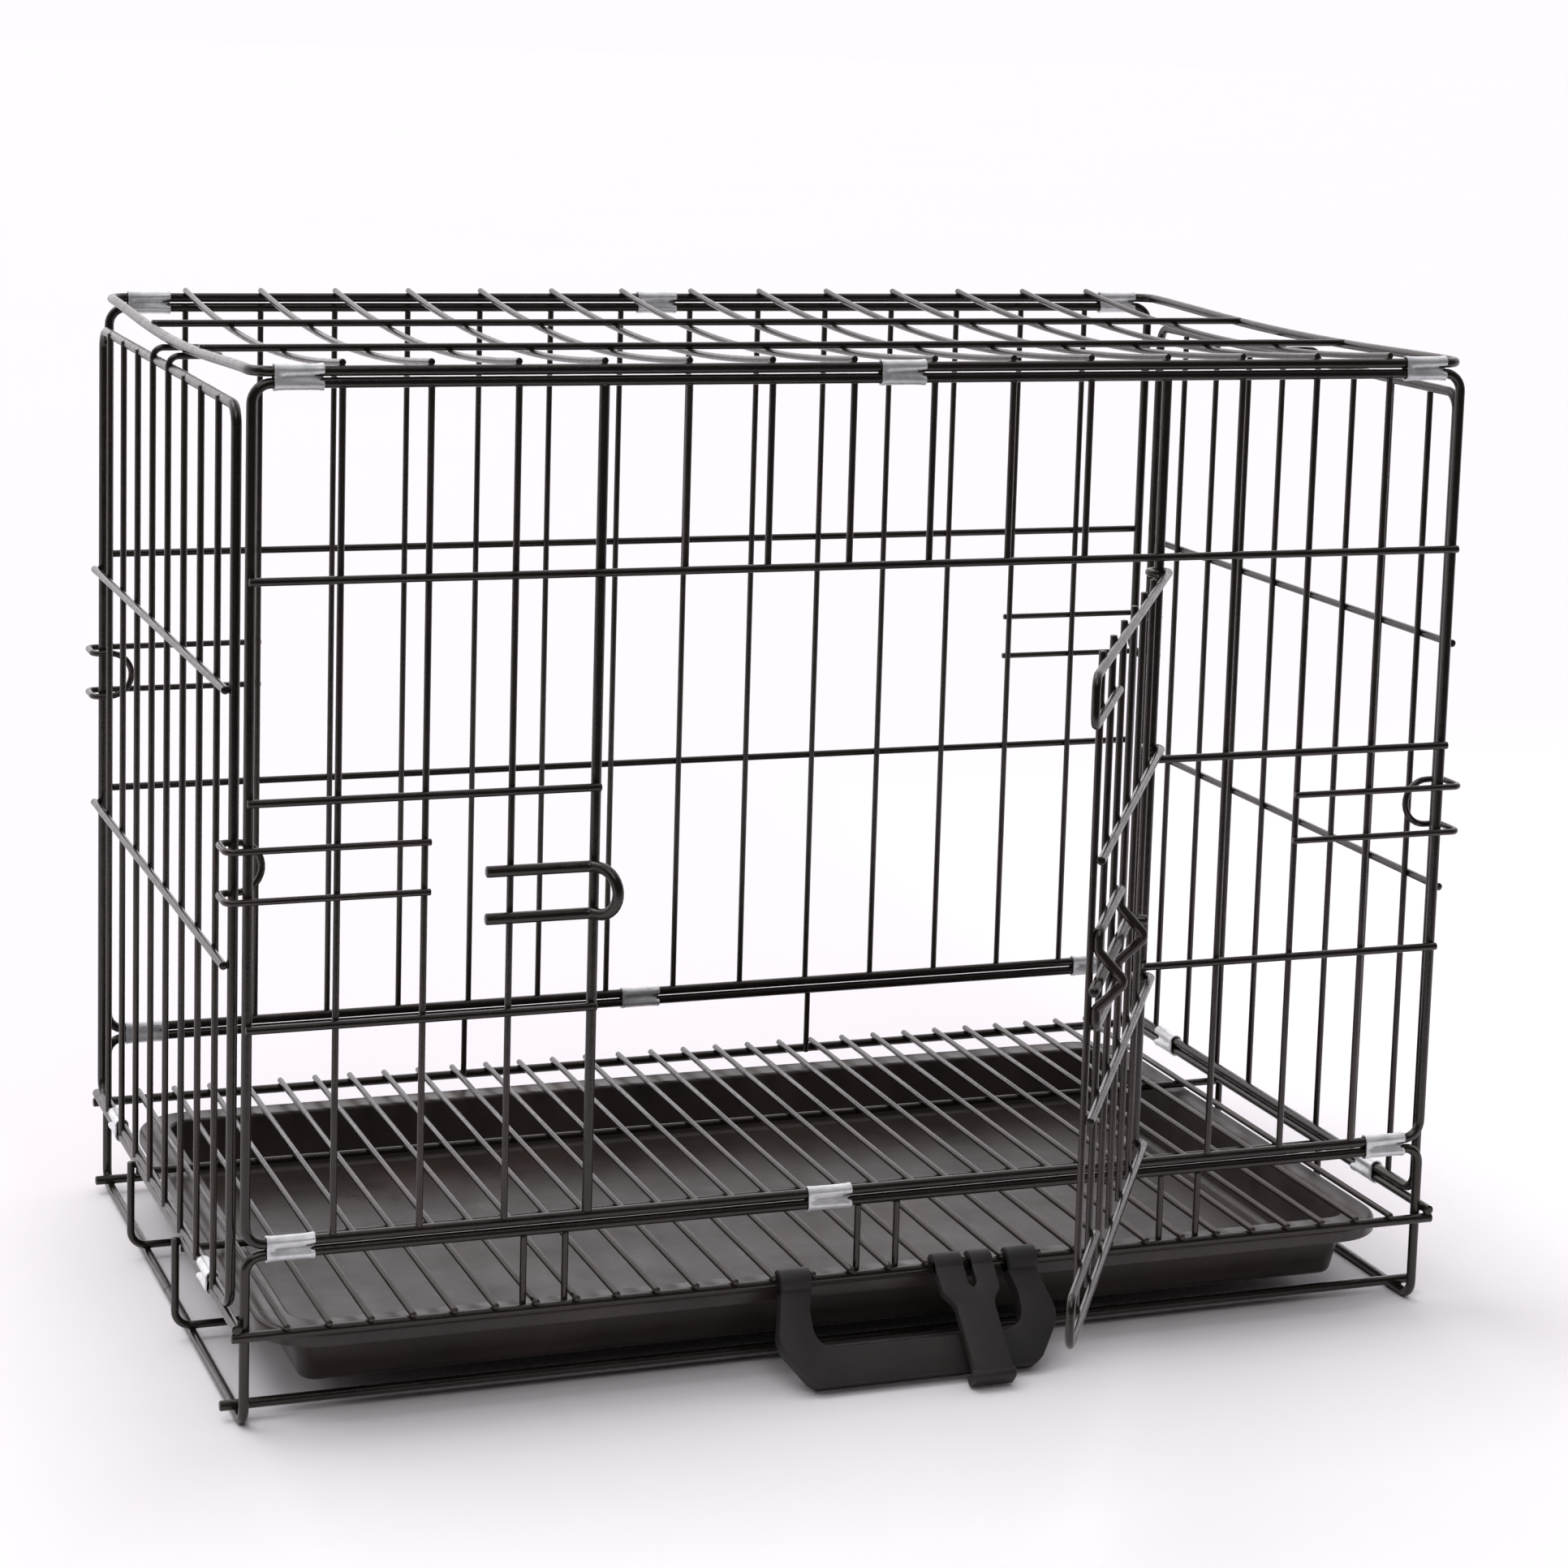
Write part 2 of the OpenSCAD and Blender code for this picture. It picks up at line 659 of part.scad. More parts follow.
module tray() color("#33302e") {
  cx = tray_len / 2 - tray_corner;
  cy = tray_w / 2 - tray_corner;
  translate([0, tray_front_y + tray_w / 2, tray_z]) {
    for (k = [0:3]) {
      sx = k == 0 || k == 3 ? 1 : -1;
      sy = k < 2 ? 1 : -1;
      translate([sx * cx, sy * cy, 0])
        rotate_extrude(angle = 90, start = 90 * k, $fn = 48) polygon(tray_profile(0));
    }
    for (s = [0, 180]) rotate([0, 0, s]) translate([cx, 0, 0]) tray_side(2 * cy);
    for (s = [90, 270]) rotate([0, 0, s]) translate([cy, 0, 0]) tray_side(2 * cx);
    translate([-cx, -cy, 0]) cube([2 * cx, 2 * cy, tray_wall]);
  }
}

// ------------------------------------------------------------------ carry handle and fold lock

module at_rail(tilt) translate([0, -floor_rail_y, floor_rail_z]) rotate([-tilt, 0, 0]) children();
module knuckle(x0, x1) translate([x0, knuckle_off[0], knuckle_off[1]])
  rotate([0, 90, 0]) cylinder(h = x1 - x0, r = knuckle_r, $fn = clip_fn);
module rail_bore(x0, x1) translate([x0 - 1, 0, 0]) rotate([0, 90, 0])
  cylinder(h = x1 - x0 + 2, r = frame_d / 2 + knuckle_clear, $fn = clip_fn);
function mirrored(pts) = [for (i = [len(pts) - 1:-1:0]) [-pts[i][0], pts[i][1]]];

// a flat moulded U: two bowed arms on knuckles and a grip bar between them
module carry_handle() color("#2d2a2a") at_rail(handle_tilt) {
  c = handle_half;
  bow = c + arm_bow;
  waist = 0.53 * handle_len;
  neck = 0.6 * waist;
  grip = handle_len - grip_h;
  outer = [
    [c + knuckle_half, 0], [c + knuckle_half, -arm_step], [bow - grip_round, -neck], [bow, -waist],
    [bow - 2, -grip], [c + 1, -handle_len + grip_round], [c - grip_round, -handle_len]
  ];
  inner = [
    [c - knuckle_half - arm_in, -grip], [c - knuckle_half, -grip + grip_round], [c - arm_in, -waist],
    [c - arm_in, -neck], [c - knuckle_half, -arm_step], [c - knuckle_half, 0]
  ];
  difference() {
    union() {
      translate([handle_mid_x, handle_t / 2, 0]) rotate([90, 0, 0])
        linear_extrude(handle_t) polygon(concat(outer, mirrored(outer), mirrored(inner), inner));
      for (x = [handle_mid_x - c, handle_mid_x + c]) knuckle(x - knuckle_half, x + knuckle_half);
    }
    for (x = [handle_mid_x - c, handle_mid_x + c]) rail_bore(x - knuckle_half, x + knuckle_half);
  }
}

// two fingers round the rail, a strap, and a curl that catches the folded panels
module fold_lock_hook() color("#2d2a2a") at_rail(lock_tilt) {
  front = strap_back - lock_t;
  curl = lock_len - curl_len;
  taper = finger_len + taper_len;
  side = [[lock_half, 0], [lock_half, -finger_len], [strap_half, -taper], [strap_half, -curl - curl_chamfer]];
  difference() {
    union() {
      knuckle(lock_x0, lock_x1);
      translate([lock_mid_x, strap_back, 0]) rotate([90, 0, 0])
        linear_extrude(lock_t) polygon(concat(side, mirrored(side)));
      translate([lock_mid_x - curl_half, 0, 0]) rotate([90, 0, 90]) linear_extrude(2 * curl_half) polygon([
        [front, -curl], [curl_back, -curl], [curl_back, -lock_len + curl_chamfer],
        [curl_back - curl_chamfer, -lock_len], [front + curl_chamfer, -lock_len],
        [front, -lock_len + curl_chamfer]
      ]);
    }
    rail_bore(lock_x0, lock_x1);
    translate([lock_slot_x - lock_slot_half, -2 * knuckle_r, -slot_len])
      cube([2 * lock_slot_half, 4 * knuckle_r, slot_len + 2 * knuckle_r]);
  }
}

base_front_frame();
base_back_frame();
ground_rails();
runner_front();
runner_back();
side_rail_left();
side_rail_right();
floor_rails();
floor_bars();
skirt_wires();
front_frame();
front_rail_upper();
front_rails_left();
front_rails_right();
front_bars_left();
front_bars_over_door();
front_bars_right();
latch_post();
hinge_post();
bolt_keeper();
front_hook_left();
front_hook_right();
back_frame();
back_rails();
back_bars();
back_hook_left();
back_hook_right();
roof_frame();
roof_cross_wires();
roof_long_wires();
roof_clips_front();
roof_clips_back();
base_clips_front();
base_clips_back();
side_clips_left();
side_clips_right();
end_left_frame();
end_left_rails();
end_left_bars();
end_left_hook();
end_right_frame();
end_right_rails();
end_right_bars();
end_right_hook();
door_rail_top();
door_rail_bottom();
door_rails_middle();
door_bars();
latch_guide();
slide_bolt();
tray();
carry_handle();
fold_lock_hook();
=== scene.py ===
"""Looks, light and camera of a folding wire dog crate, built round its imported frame."""

import logging
import math
from dataclasses import dataclass
from enum import Enum
from typing import Iterable, Sequence

import bmesh
import bpy
from bmesh.types import BMEdge, BMesh, BMFace, BMVert
from bpy.types import Node, NodeSocket, Object
from mathutils import Matrix, Vector


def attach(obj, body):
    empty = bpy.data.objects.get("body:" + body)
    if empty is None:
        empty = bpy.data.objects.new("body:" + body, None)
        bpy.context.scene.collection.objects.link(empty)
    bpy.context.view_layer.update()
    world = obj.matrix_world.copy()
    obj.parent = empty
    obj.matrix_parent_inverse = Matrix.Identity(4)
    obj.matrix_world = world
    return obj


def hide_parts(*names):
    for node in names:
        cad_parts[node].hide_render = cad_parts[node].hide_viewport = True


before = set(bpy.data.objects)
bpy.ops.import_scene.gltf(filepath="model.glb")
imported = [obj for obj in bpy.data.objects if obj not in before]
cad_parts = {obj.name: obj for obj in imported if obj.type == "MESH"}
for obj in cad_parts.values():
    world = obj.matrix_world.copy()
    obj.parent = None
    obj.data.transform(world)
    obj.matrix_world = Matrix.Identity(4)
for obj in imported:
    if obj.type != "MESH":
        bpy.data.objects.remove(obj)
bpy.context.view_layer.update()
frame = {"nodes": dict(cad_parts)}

Pair = tuple[float, float]
Triple = tuple[float, float, float]
Colour = Triple

MM = 0.001
BOTH = (-1, 1)
QUARTER = math.pi / 2
TINY = 1e-4
THIN_SIDES, THICK_SIDES, CLOSE_SIDES = 12, 16, 20
log = logging.getLogger("crate")


class Way(Enum):
    """A side of the crate, by the sign of an axis."""

    @property
    def label(self) -> str:
        """Its word in a piece's name."""
        return self.name.lower()


class Side(Way):
    """Left or right end of the crate, by the sign of X."""

    LEFT = -1
    RIGHT = 1


class Face(Way):
    """Front or back of the crate, by the sign of Y."""

    FRONT = -1
    BACK = 1


class CutEnd(Enum):
    """How a wire's end is left, by its chamfer's width and depth as shares of the wire's radius."""

    SHEARED = (0.30, 0.22)
    ROUNDED = (0.42, 0.55)
    PLAIN = (0.0, 0.0)


CHAMFER_STEPS = ((0.55, 0.7), (0.85, 0.3))


class Spot(Enum):
    """A weld spot, named for what it joins, by half its extent along X, Y and Z."""

    GROUND_RAIL = (2.3, 2.3, 1.0)
    RUNNER_SIDE = (0.9, 2.0, 2.0)
    RUNNER_FOOT = (2.0, 2.0, 0.9)
    SIDE_RAIL_FLOOR = (2.4, 2.4, 1.0)
    SIDE_RAIL_LEG = (1.0, 2.4, 2.4)
    FLOOR_RAIL_LEG = (2.4, 1.0, 2.4)
    FLOOR_BAR = (1.75, 1.9, 0.8)
    SKIRT_TOP = (1.9, 1.7, 0.9)
    SKIRT_FOOT = (1.7, 0.8, 1.9)
    BAR_END = (1.9, 1.7, 0.8)
    BAR_BRACE = (1.7, 0.7, 1.8)
    BRACE_POST = (2.2, 0.8, 2.0)
    POST_END = (2.8, 2.5, 1.0)
    HOOK_POST = (1.9, 0.8, 1.7)
    HOOK_BAR = (1.5, 0.7, 1.6)
    KEEPER_POST = (2.6, 0.9, 2.4)
    KEEPER_BAR = (1.7, 0.7, 2.2)
    CROSS_END = (1.7, 1.9, 0.8)
    CROSS_LONG = (1.5, 1.5, 0.5)
    LONG_END = (1.2, 2.2, 1.8)
    END_RAIL = (0.8, 2.0, 2.2)
    END_BAR = (1.6, 1.9, 2.2)
    DOOR_RAIL = (1.7, 0.8, 1.8)
    GUIDE_BAR = (1.7, 0.8, 1.9)


MIDDLE_TONES = (0.3, 0.7)
BUTT_SWELL = 0.54
BUTT_HALF = 1.6


def only(geom: Iterable[object], kind: type) -> list:
    """The elements of one kind in an operator's result."""
    return [g for g in geom if isinstance(g, kind)]


def edges_of(verts: Iterable[BMVert]) -> list[BMEdge]:
    """The edges at some vertices, each once and always in the same order."""
    return list(dict.fromkeys(edge for vert in verts for edge in vert.link_edges))


# ---------------- wires


class Sweep:
    """Draws a section along straight runs and bends, into a shared mesh."""

    def __init__(self, bm: BMesh, at: Vector, heading: Vector, rim: list[BMEdge]) -> None:
        """Starts from a section that is already drawn.

        Args:
            bm: mesh that the section belongs to, in millimetres.
            at: point that the path is measured from.
            heading: direction in which the path leaves it.
            rim: edges of the section.
        """
        self.bm = bm
        self.at = Vector(at)
        self.heading = Vector(heading).normalized()
        self.rim = rim

    def line(self, length: float) -> None:
        """Draws a straight run.

        Args:
            length: length of the run.
        """
        grown = bmesh.ops.extrude_edge_only(self.bm, edges=self.rim)["geom"]
        bmesh.ops.translate(self.bm, verts=only(grown, BMVert), vec=self.heading * length)
        self.rim = only(grown, BMEdge)
        self.at = self.at + self.heading * length

    def arc(self, centre: Vector, axis: Vector, angle: float, step: float = 12.0) -> None:
        """Draws a round bend.

        Args:
            centre: centre of the bend.
            axis: axis of the bend, with the turn by the right-hand rule.
            angle: angle of the bend, in radians.
            step: largest angle between two rings of the bend, in degrees.
        """
        steps = max(2, math.ceil(math.degrees(abs(angle)) / step))
        verts = list(dict.fromkeys(vert for edge in self.rim for vert in edge.verts))
        last = bmesh.ops.spin(
            self.bm, geom=verts + self.rim, cent=centre, axis=axis, dvec=(0, 0, 0),
            angle=angle, steps=steps, use_merge=False, use_normal_flip=False, use_duplicate=False,
        )["geom_last"]
        self.rim = only(last, BMEdge)
        turn = Matrix.Rotation(angle, 3, axis)
        self.at = centre + turn @ (self.at - centre)
        self.heading = (turn @ self.heading).normalized()


class WirePen(Sweep):
    """Draws one round wire into a shared mesh."""

    def __init__(self, bm: BMesh, start: Vector, heading: Vector, diameter: float, sides: int) -> None:
        """Starts the wire with a capped circle.

        Args:
            bm: mesh that the wire is added to, in millimetres.
            start: centre of the wire's first end.
            heading: direction in which the wire leaves it.
            diameter: thickness of the wire.
            sides: number of facets round the wire.
        """
        turn = Vector(heading).to_track_quat("Z", "Y").to_matrix().to_4x4()
        made = bmesh.ops.create_circle(
            bm, cap_ends=True, cap_tris=False, segments=sides, radius=diameter / 2,
            matrix=Matrix.Translation(start) @ turn,
        )["verts"]
        super().__init__(bm, start, heading, edges_of(made))
        self.caps = [self.rim[0].link_faces[0]]

    def through(self, points: Sequence[Iterable[float]], bend: float) -> None:
        """Draws straight runs through the points, with a round bend at each but the last.

        Args:
            points: corners of the wire's centre line, and its end.
            bend: radius of the bends.
        """
        points = [Vector(p) for p in points]
        for here, after in zip(points, points[1:]):
            ahead = (after - here).normalized()
            angle = self.heading.angle(ahead)
            if angle < TINY:
                continue
            room = min((after - here).length / 2, (here - self.at).length)
            cut = min(bend * math.tan(angle / 2), room)
            run = (here - self.at).length - cut
            if run > 1e-3:
                self.line(run)
            axis = self.heading.cross(ahead).normalized()
            radius = cut / math.tan(angle / 2)
            self.arc(self.at + axis.cross(self.heading) * radius, axis, angle)
        self.line((points[-1] - self.at).length)

    def cut(self) -> None:
        """Closes the wire's far end."""
        self.caps += bmesh.ops.contextual_create(self.bm, geom=self.rim)["faces"]


class Wires:
    """Round wires and weld spots gathered in one mesh, in millimetres."""

    def __init__(self, sides: int = THICK_SIDES, place: Matrix | None = None) -> None:
        """Starts an empty mesh.

        Args:
            sides: number of facets round a wire.
            place: where the finished mesh is put, or None to leave it.
        """
        self.bm = bmesh.new()
        self.place = place
        self.sides = sides
        self.caps: list[tuple[BMFace, float, CutEnd]] = []

    def pen(self, start: Iterable[float], towards: Iterable[float], diameter: float) -> WirePen:
        """Starts a wire at one point, heading for another."""
        start, towards = Vector(start), Vector(towards)
        return WirePen(self.bm, start, towards - start, diameter, self.sides)

    def close(self, pen: WirePen, diameter: float, end: CutEnd = CutEnd.SHEARED) -> None:
        """Closes a wire and notes how its two ends are left."""
        pen.cut()
        self.caps += [(cap, diameter, end) for cap in pen.caps]

    def bent(self, points: Sequence[Iterable[float]], diameter: float, bend: float,
             end: CutEnd = CutEnd.SHEARED) -> None:
        """Draws a wire through the points.

        Args:
            points: ends and corners of the wire's centre line.
            diameter: thickness of the wire.
            bend: radius of its bends.
            end: how its ends are left.
        """
        first, last = Vector(points[0]), Vector(points[-1])
        depth = end.value[1] * diameter / 2
        first = first + (Vector(points[1]) - first).normalized() * depth
        last = last + (Vector(points[-2]) - last).normalized() * depth
        pen = self.pen(first, points[1], diameter)
        pen.through([*points[1:-1], last], bend)
        self.close(pen, diameter, end)

    def straight(self, start: Iterable[float], stop: Iterable[float], diameter: float,
                 end: CutEnd = CutEnd.SHEARED) -> None:
        """Draws a straight wire between two points."""
        self.bent([start, stop], diameter, 0.0, end)

    def blob(self, at: Iterable[float], size: Iterable[float]) -> None:
        """Puts a small fused lump at a point, with half its extent along X, Y and Z."""
        place = Matrix.Translation(Vector(at)) @ Matrix.Diagonal((*size, 1.0))
        bmesh.ops.create_icosphere(self.bm, subdivisions=1, radius=1.0, matrix=place)

    def weld(self, at: Iterable[float], spot: Spot) -> None:
        """Puts a weld spot where two wires touch."""
        self.blob(at, spot.value)

    def butt_weld(self, at: Iterable[float], diameter: float, axis: int) -> None:
        """Puts the swollen seam where a closed frame's wire meets itself.

        Args:
            at: middle of the seam.
            diameter: thickness of the wire.
            axis: number of the axis that the wire runs along.
        """
        size = [BUTT_SWELL * diameter] * 3
        size[axis] = BUTT_HALF
        self.blob(at, size)

    def finish(self, name: str) -> Object:
        """Shapes the cut ends and turns the mesh into an object, in metres.

        Args:
            name: name of the new object.

        Returns:
            The object, at the origin, with its place in its mesh.
        """
        bmesh.ops.recalc_face_normals(self.bm, faces=self.bm.faces)
        for kind in (CutEnd.SHEARED, CutEnd.ROUNDED):
            for size in dict.fromkeys(d for _, d, end in self.caps if end is kind):
                faces = [f for f, d, end in self.caps if end is kind and d == size]
                width, depth = (share * size / 2 for share in kind.value)
                for across, deep in CHAMFER_STEPS:
                    bmesh.ops.inset_individual(
                        self.bm, faces=faces, thickness=width * across, depth=depth * deep,
                        use_even_offset=True, use_relative_offset=False)
        if self.place is not None:
            bmesh.ops.transform(self.bm, matrix=self.place, verts=self.bm.verts)
        return mesh_object(self.bm, name)


def mesh_object(bm: BMesh, name: str, crease: float = 40.0) -> Object:
    """Turns a mesh in millimetres into an object in metres.

    Args:
        bm: the mesh, which is freed.
        name: name of the new object.
        crease: angle in degrees above which an edge stays sharp.

    Returns:
        The object, at the origin, with its place in its mesh.
    """
    bmesh.ops.scale(bm, vec=(MM, MM, MM), verts=bm.verts)
    for face in bm.faces:
        face.smooth = True
    mesh = bpy.data.meshes.new(name)
    bm.to_mesh(mesh)
    bm.free()
    mesh.set_sharp_from_angle(angle=math.radians(crease))
    obj = bpy.data.objects.new(name, mesh)
    bpy.context.scene.collection.objects.link(obj)
    return obj


def merge(bm: BMesh, part: BMesh) -> None:
    """Adds one mesh to another, and frees it.

    Args:
        bm: mesh that is added to.
        part: mesh that is added.
    """
    mesh = bpy.data.meshes.new("part")
    part.to_mesh(mesh)
    part.free()
    bm.from_mesh(mesh)
    bpy.data.meshes.remove(mesh)


# ---------------- finishes


@dataclass(frozen=True)
class Cloud:
    """A cloudy pattern: size of its features in millimetres, octaves of finer detail and their strength."""

    size: float
    detail: float
    rough: float


@dataclass(frozen=True)
class Relief(Cloud):
    """A cloudy pattern in relief: also its depth in millimetres and the share of it that shows."""

    depth: float
    share: float


class Graph:
    """Lays out the nodes of one material or of the world."""

    def __init__(self, owner: bpy.types.Material | bpy.types.World, shader: str, place: str) -> None:
        """Starts from the owner's own shader.

        Args:
            owner: material or world.
            shader: name of its shader node.
            place: the coordinates that its patterns read.
        """
        owner.use_nodes = True
        self.owner = owner
        self.tree = owner.node_tree
        self.shader = self.tree.nodes[shader]
        self.coord = self.add("TexCoord").outputs[place]

    @classmethod
    def material(cls, name: str) -> "Graph":
        """Starts a material whose patterns read the piece's own place."""
        return cls(bpy.data.materials.new(name), "Principled BSDF", "Object")

    def add(self, kind: str, sockets: dict[str | int, object] | None = None, **settings: str) -> Node:
        """Adds a node.

        Args:
            kind: the node's type, after ShaderNode.
            sockets: a value or a socket for each input, by name or number.
            settings: what the node is set to, such as its operation.

        Returns:
            The node.
        """
        node = self.tree.nodes.new("ShaderNode" + kind)
        for key, value in settings.items():
            setattr(node, key, value)
        self.feed(node, sockets or {})
        return node

    def feed(self, node: Node, sockets: dict[str | int, object]) -> None:
        """Sets or links a node's inputs.

        Args:
            node: the node.
            sockets: a value or a socket for each input, by name or number.
        """
        for key, value in sockets.items():
            if isinstance(value, NodeSocket):
                self.tree.links.new(value, node.inputs[key])
            else:
                node.inputs[key].default_value = value

    def set(self, **values: object) -> None:
        """Sets or links the shader's inputs, named with _ for a space."""
        self.feed(self.shader, {key.replace("_", " "): value for key, value in values.items()})

    def noise(self, cloud: Cloud, place: NodeSocket | None = None) -> NodeSocket:
        """A cloudy pattern from 0 to 1, read at the piece's own place or at another."""
        return self.add("TexNoise", {"Vector": place or self.coord, "Scale": 1 / (cloud.size * MM),
                                     "Detail": cloud.detail, "Roughness": cloud.rough}).outputs["Fac"]

    def stretched(self, scale: Triple) -> NodeSocket:
        """The piece's place, scaled differently along each axis."""
        return self.add("Mapping", {"Vector": self.coord, "Scale": scale}).outputs["Vector"]

    def span(self, value: NodeSocket, start: float, stop: float, low: float = 0.0,
             high: float = 1.0) -> NodeSocket:
        """Maps a pattern's range from start..stop to low..high."""
        return self.add("MapRange", {"Value": value, "From Min": start, "From Max": stop, "To Min": low,
                                     "To Max": high}).outputs["Result"]

    def drift(self, cloud: Cloud, low: float = 0.0, high: float = 1.0) -> NodeSocket:
        """A cloudy pattern whose middle tones are spread from low to high."""
        return self.span(self.noise(cloud), *MIDDLE_TONES, low, high)

    def blend(self, amount: NodeSocket, first: Colour | NodeSocket,
              second: Colour | NodeSocket) -> NodeSocket:
        """Mixes two colours by an amount."""
        first, second = (v if isinstance(v, NodeSocket) else (*v, 1.0) for v in (first, second))
        return self.add("Mix", {"Factor": amount, 6: first, 7: second}, data_type="RGBA").outputs[2]

    def bump(self, height: NodeSocket, relief: Relief, over: NodeSocket | None = None) -> NodeSocket:
        """Relief from a height pattern.

        Args:
            height: the pattern.
            relief: its depth and the share of it that shows.
            over: relief that it adds to, or None.

        Returns:
            The bumped normal.
        """
        sockets = {"Height": height, "Distance": relief.depth * MM, "Strength": relief.share}
        if over is not None:
            sockets["Normal"] = over
        return self.add("Bump", sockets).outputs["Normal"]

    def raised(self, relief: Relief, over: NodeSocket | None = None) -> NodeSocket:
        """Relief from its own cloudy pattern, alone or over another relief."""
        return self.bump(self.noise(relief), relief, over)


@dataclass(frozen=True)
class Finish:
    """A material and the slot of the record that it belongs to."""

    slot: str
    material: bpy.types.Material


@dataclass(frozen=True)
class PowderCoat:
    """Baked powder paint on wire: fine orange peel, uneven gloss and a few pale rubbed specks."""

    slot: str = "powder_coat_frame"
    deep: Colour = (0.0075, 0.0055, 0.0045)
    pale: Colour = (0.017, 0.013, 0.0105)
    rubbed: Colour = (0.12, 0.10, 0.09)
    shine: Colour = (1.0, 0.92, 0.89)
    index: float = 1.58
    gloss: Pair = (0.16, 0.30)
    cloud: Cloud = Cloud(34.0, 4.0, 0.6)
    speck: Cloud = Cloud(2.6, 3.0, 0.7)
    speck_span: Pair = (0.69, 0.76)
    speck_share: float = 0.7
    peel: Relief = Relief(1.4, 2.0, 0.45, depth=0.10, share=0.55)
    ripple: Relief = Relief(9.0, 2.0, 0.5, depth=0.35, share=0.5)
    haze: Cloud = Cloud(7.0, 4.0, 0.6)

    def mixed(self) -> Finish:
        """Makes the material.

        Returns:
            The material, with its slot.
        """
        graph = Graph.material(self.slot)
        colour = graph.blend(graph.drift(self.cloud), self.deep, self.pale)
        specks = graph.span(graph.noise(self.speck), *self.speck_span, 0.0, self.speck_share)
        graph.set(Base_Color=graph.blend(specks, colour, self.rubbed),
                  Normal=graph.raised(self.ripple, graph.raised(self.peel)),
                  Roughness=graph.drift(self.haze, *self.gloss),
                  IOR=self.index, Specular_Tint=(*self.shine, 1.0))
        return Finish(self.slot, graph.owner)


@dataclass(frozen=True)
class ZincSheet:
    """Bright zinc-plated spring sheet with rolling streaks and dull blotches."""

    slot: str = "zinc_clip"
    bright: Colour = (0.90, 0.905, 0.92)
    dull: Colour = (0.66, 0.68, 0.70)
    metal: float = 0.4
    gloss: Pair = (0.22, 0.42)
    streak: Relief = Relief(3.0, 4.0, 0.6, depth=0.06, share=0.6)
    streak_scale: Triple = (0.12, 1.0, 1.0)
    blotch: Cloud = Cloud(6.0, 3.0, 0.55)
    blotch_span: Pair = (0.35, 0.7)

    def mixed(self) -> Finish:
        """Makes the material.

        Returns:
            The material, with its slot.
        """
        graph = Graph.material(self.slot)
        streaks = graph.noise(self.streak, graph.stretched(self.streak_scale))
        blotches = graph.span(graph.noise(self.blotch), *self.blotch_span)
        graph.set(Base_Color=graph.blend(blotches, self.bright, self.dull), Metallic=self.metal,
                  Roughness=graph.span(streaks, *MIDDLE_TONES, *self.gloss),
                  Normal=graph.bump(streaks, self.streak))
        return Finish(self.slot, graph.owner)


@dataclass(frozen=True)
class MouldedPlastic:
    """Moulded plastic with a spark-eroded grain and a drifting gloss."""

    slot: str = "tray_plastic"
    deep: Colour = (0.026, 0.0185, 0.016)
    pale: Colour = (0.062, 0.045, 0.0385)
    gloss: Pair = (0.26, 0.42)
    cloud: Cloud = Cloud(60.0, 5.0, 0.6)
    grain: Relief = Relief(1.2, 2.0, 0.5, depth=0.03, share=0.8)
    sink: Relief = Relief(45.0, 2.0, 0.4, depth=0.4, share=0.6)
    haze: Cloud = Cloud(25.0, 4.0, 0.6)

    def mixed(self) -> Finish:
        """Makes the material.

        Returns:
            The material, with its slot.
        """
        graph = Graph.material(self.slot)
        graph.set(Base_Color=graph.blend(graph.drift(self.cloud), self.deep, self.pale),
                  Roughness=graph.drift(self.haze, *self.gloss),
                  Normal=graph.raised(self.sink, graph.raised(self.grain)))
        return Finish(self.slot, graph.owner)


@dataclass(frozen=True)
class Finishes:
    """The crate's finishes, each made once."""

    frame: Finish
    bars: Finish
    zinc: Finish
    tray: Finish
    handle: Finish

    @classmethod
    def mixed(cls) -> "Finishes":
        """Makes every material.

        Returns:
            The five finishes.
        """
        bars = PowderCoat("powder_coat_bar", deep=(0.012, 0.0090, 0.0075), pale=(0.030, 0.0225, 0.019))
        handle = MouldedPlastic("handle_plastic", deep=(0.013, 0.0115, 0.0105), pale=(0.025, 0.0215, 0.019),
                                gloss=(0.5, 0.68), grain=Relief(1.2, 2.0, 0.5, depth=0.10, share=0.8),
                                sink=Relief(45.0, 2.0, 0.4, depth=0.2, share=0.6))
        return cls(*(kind.mixed() for kind in (PowderCoat(), bars, ZincSheet(), MouldedPlastic(), handle)))


def fit(obj: Object, body: str, node: str, finish: Finish) -> None:
    """Gives a new piece its finish, its body and the solid it stands for.

    Args:
        obj: the piece.
        body: body that it moves with.
        node: solid that it replaces.
        finish: its finish.
    """
    obj.data.materials.append(finish.material)
    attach(obj, body)
    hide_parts(node)
    log.info("%s: %d faces, on %s", obj.name, len(obj.data.polygons), body)


# ---------------- the crate's shared sizes


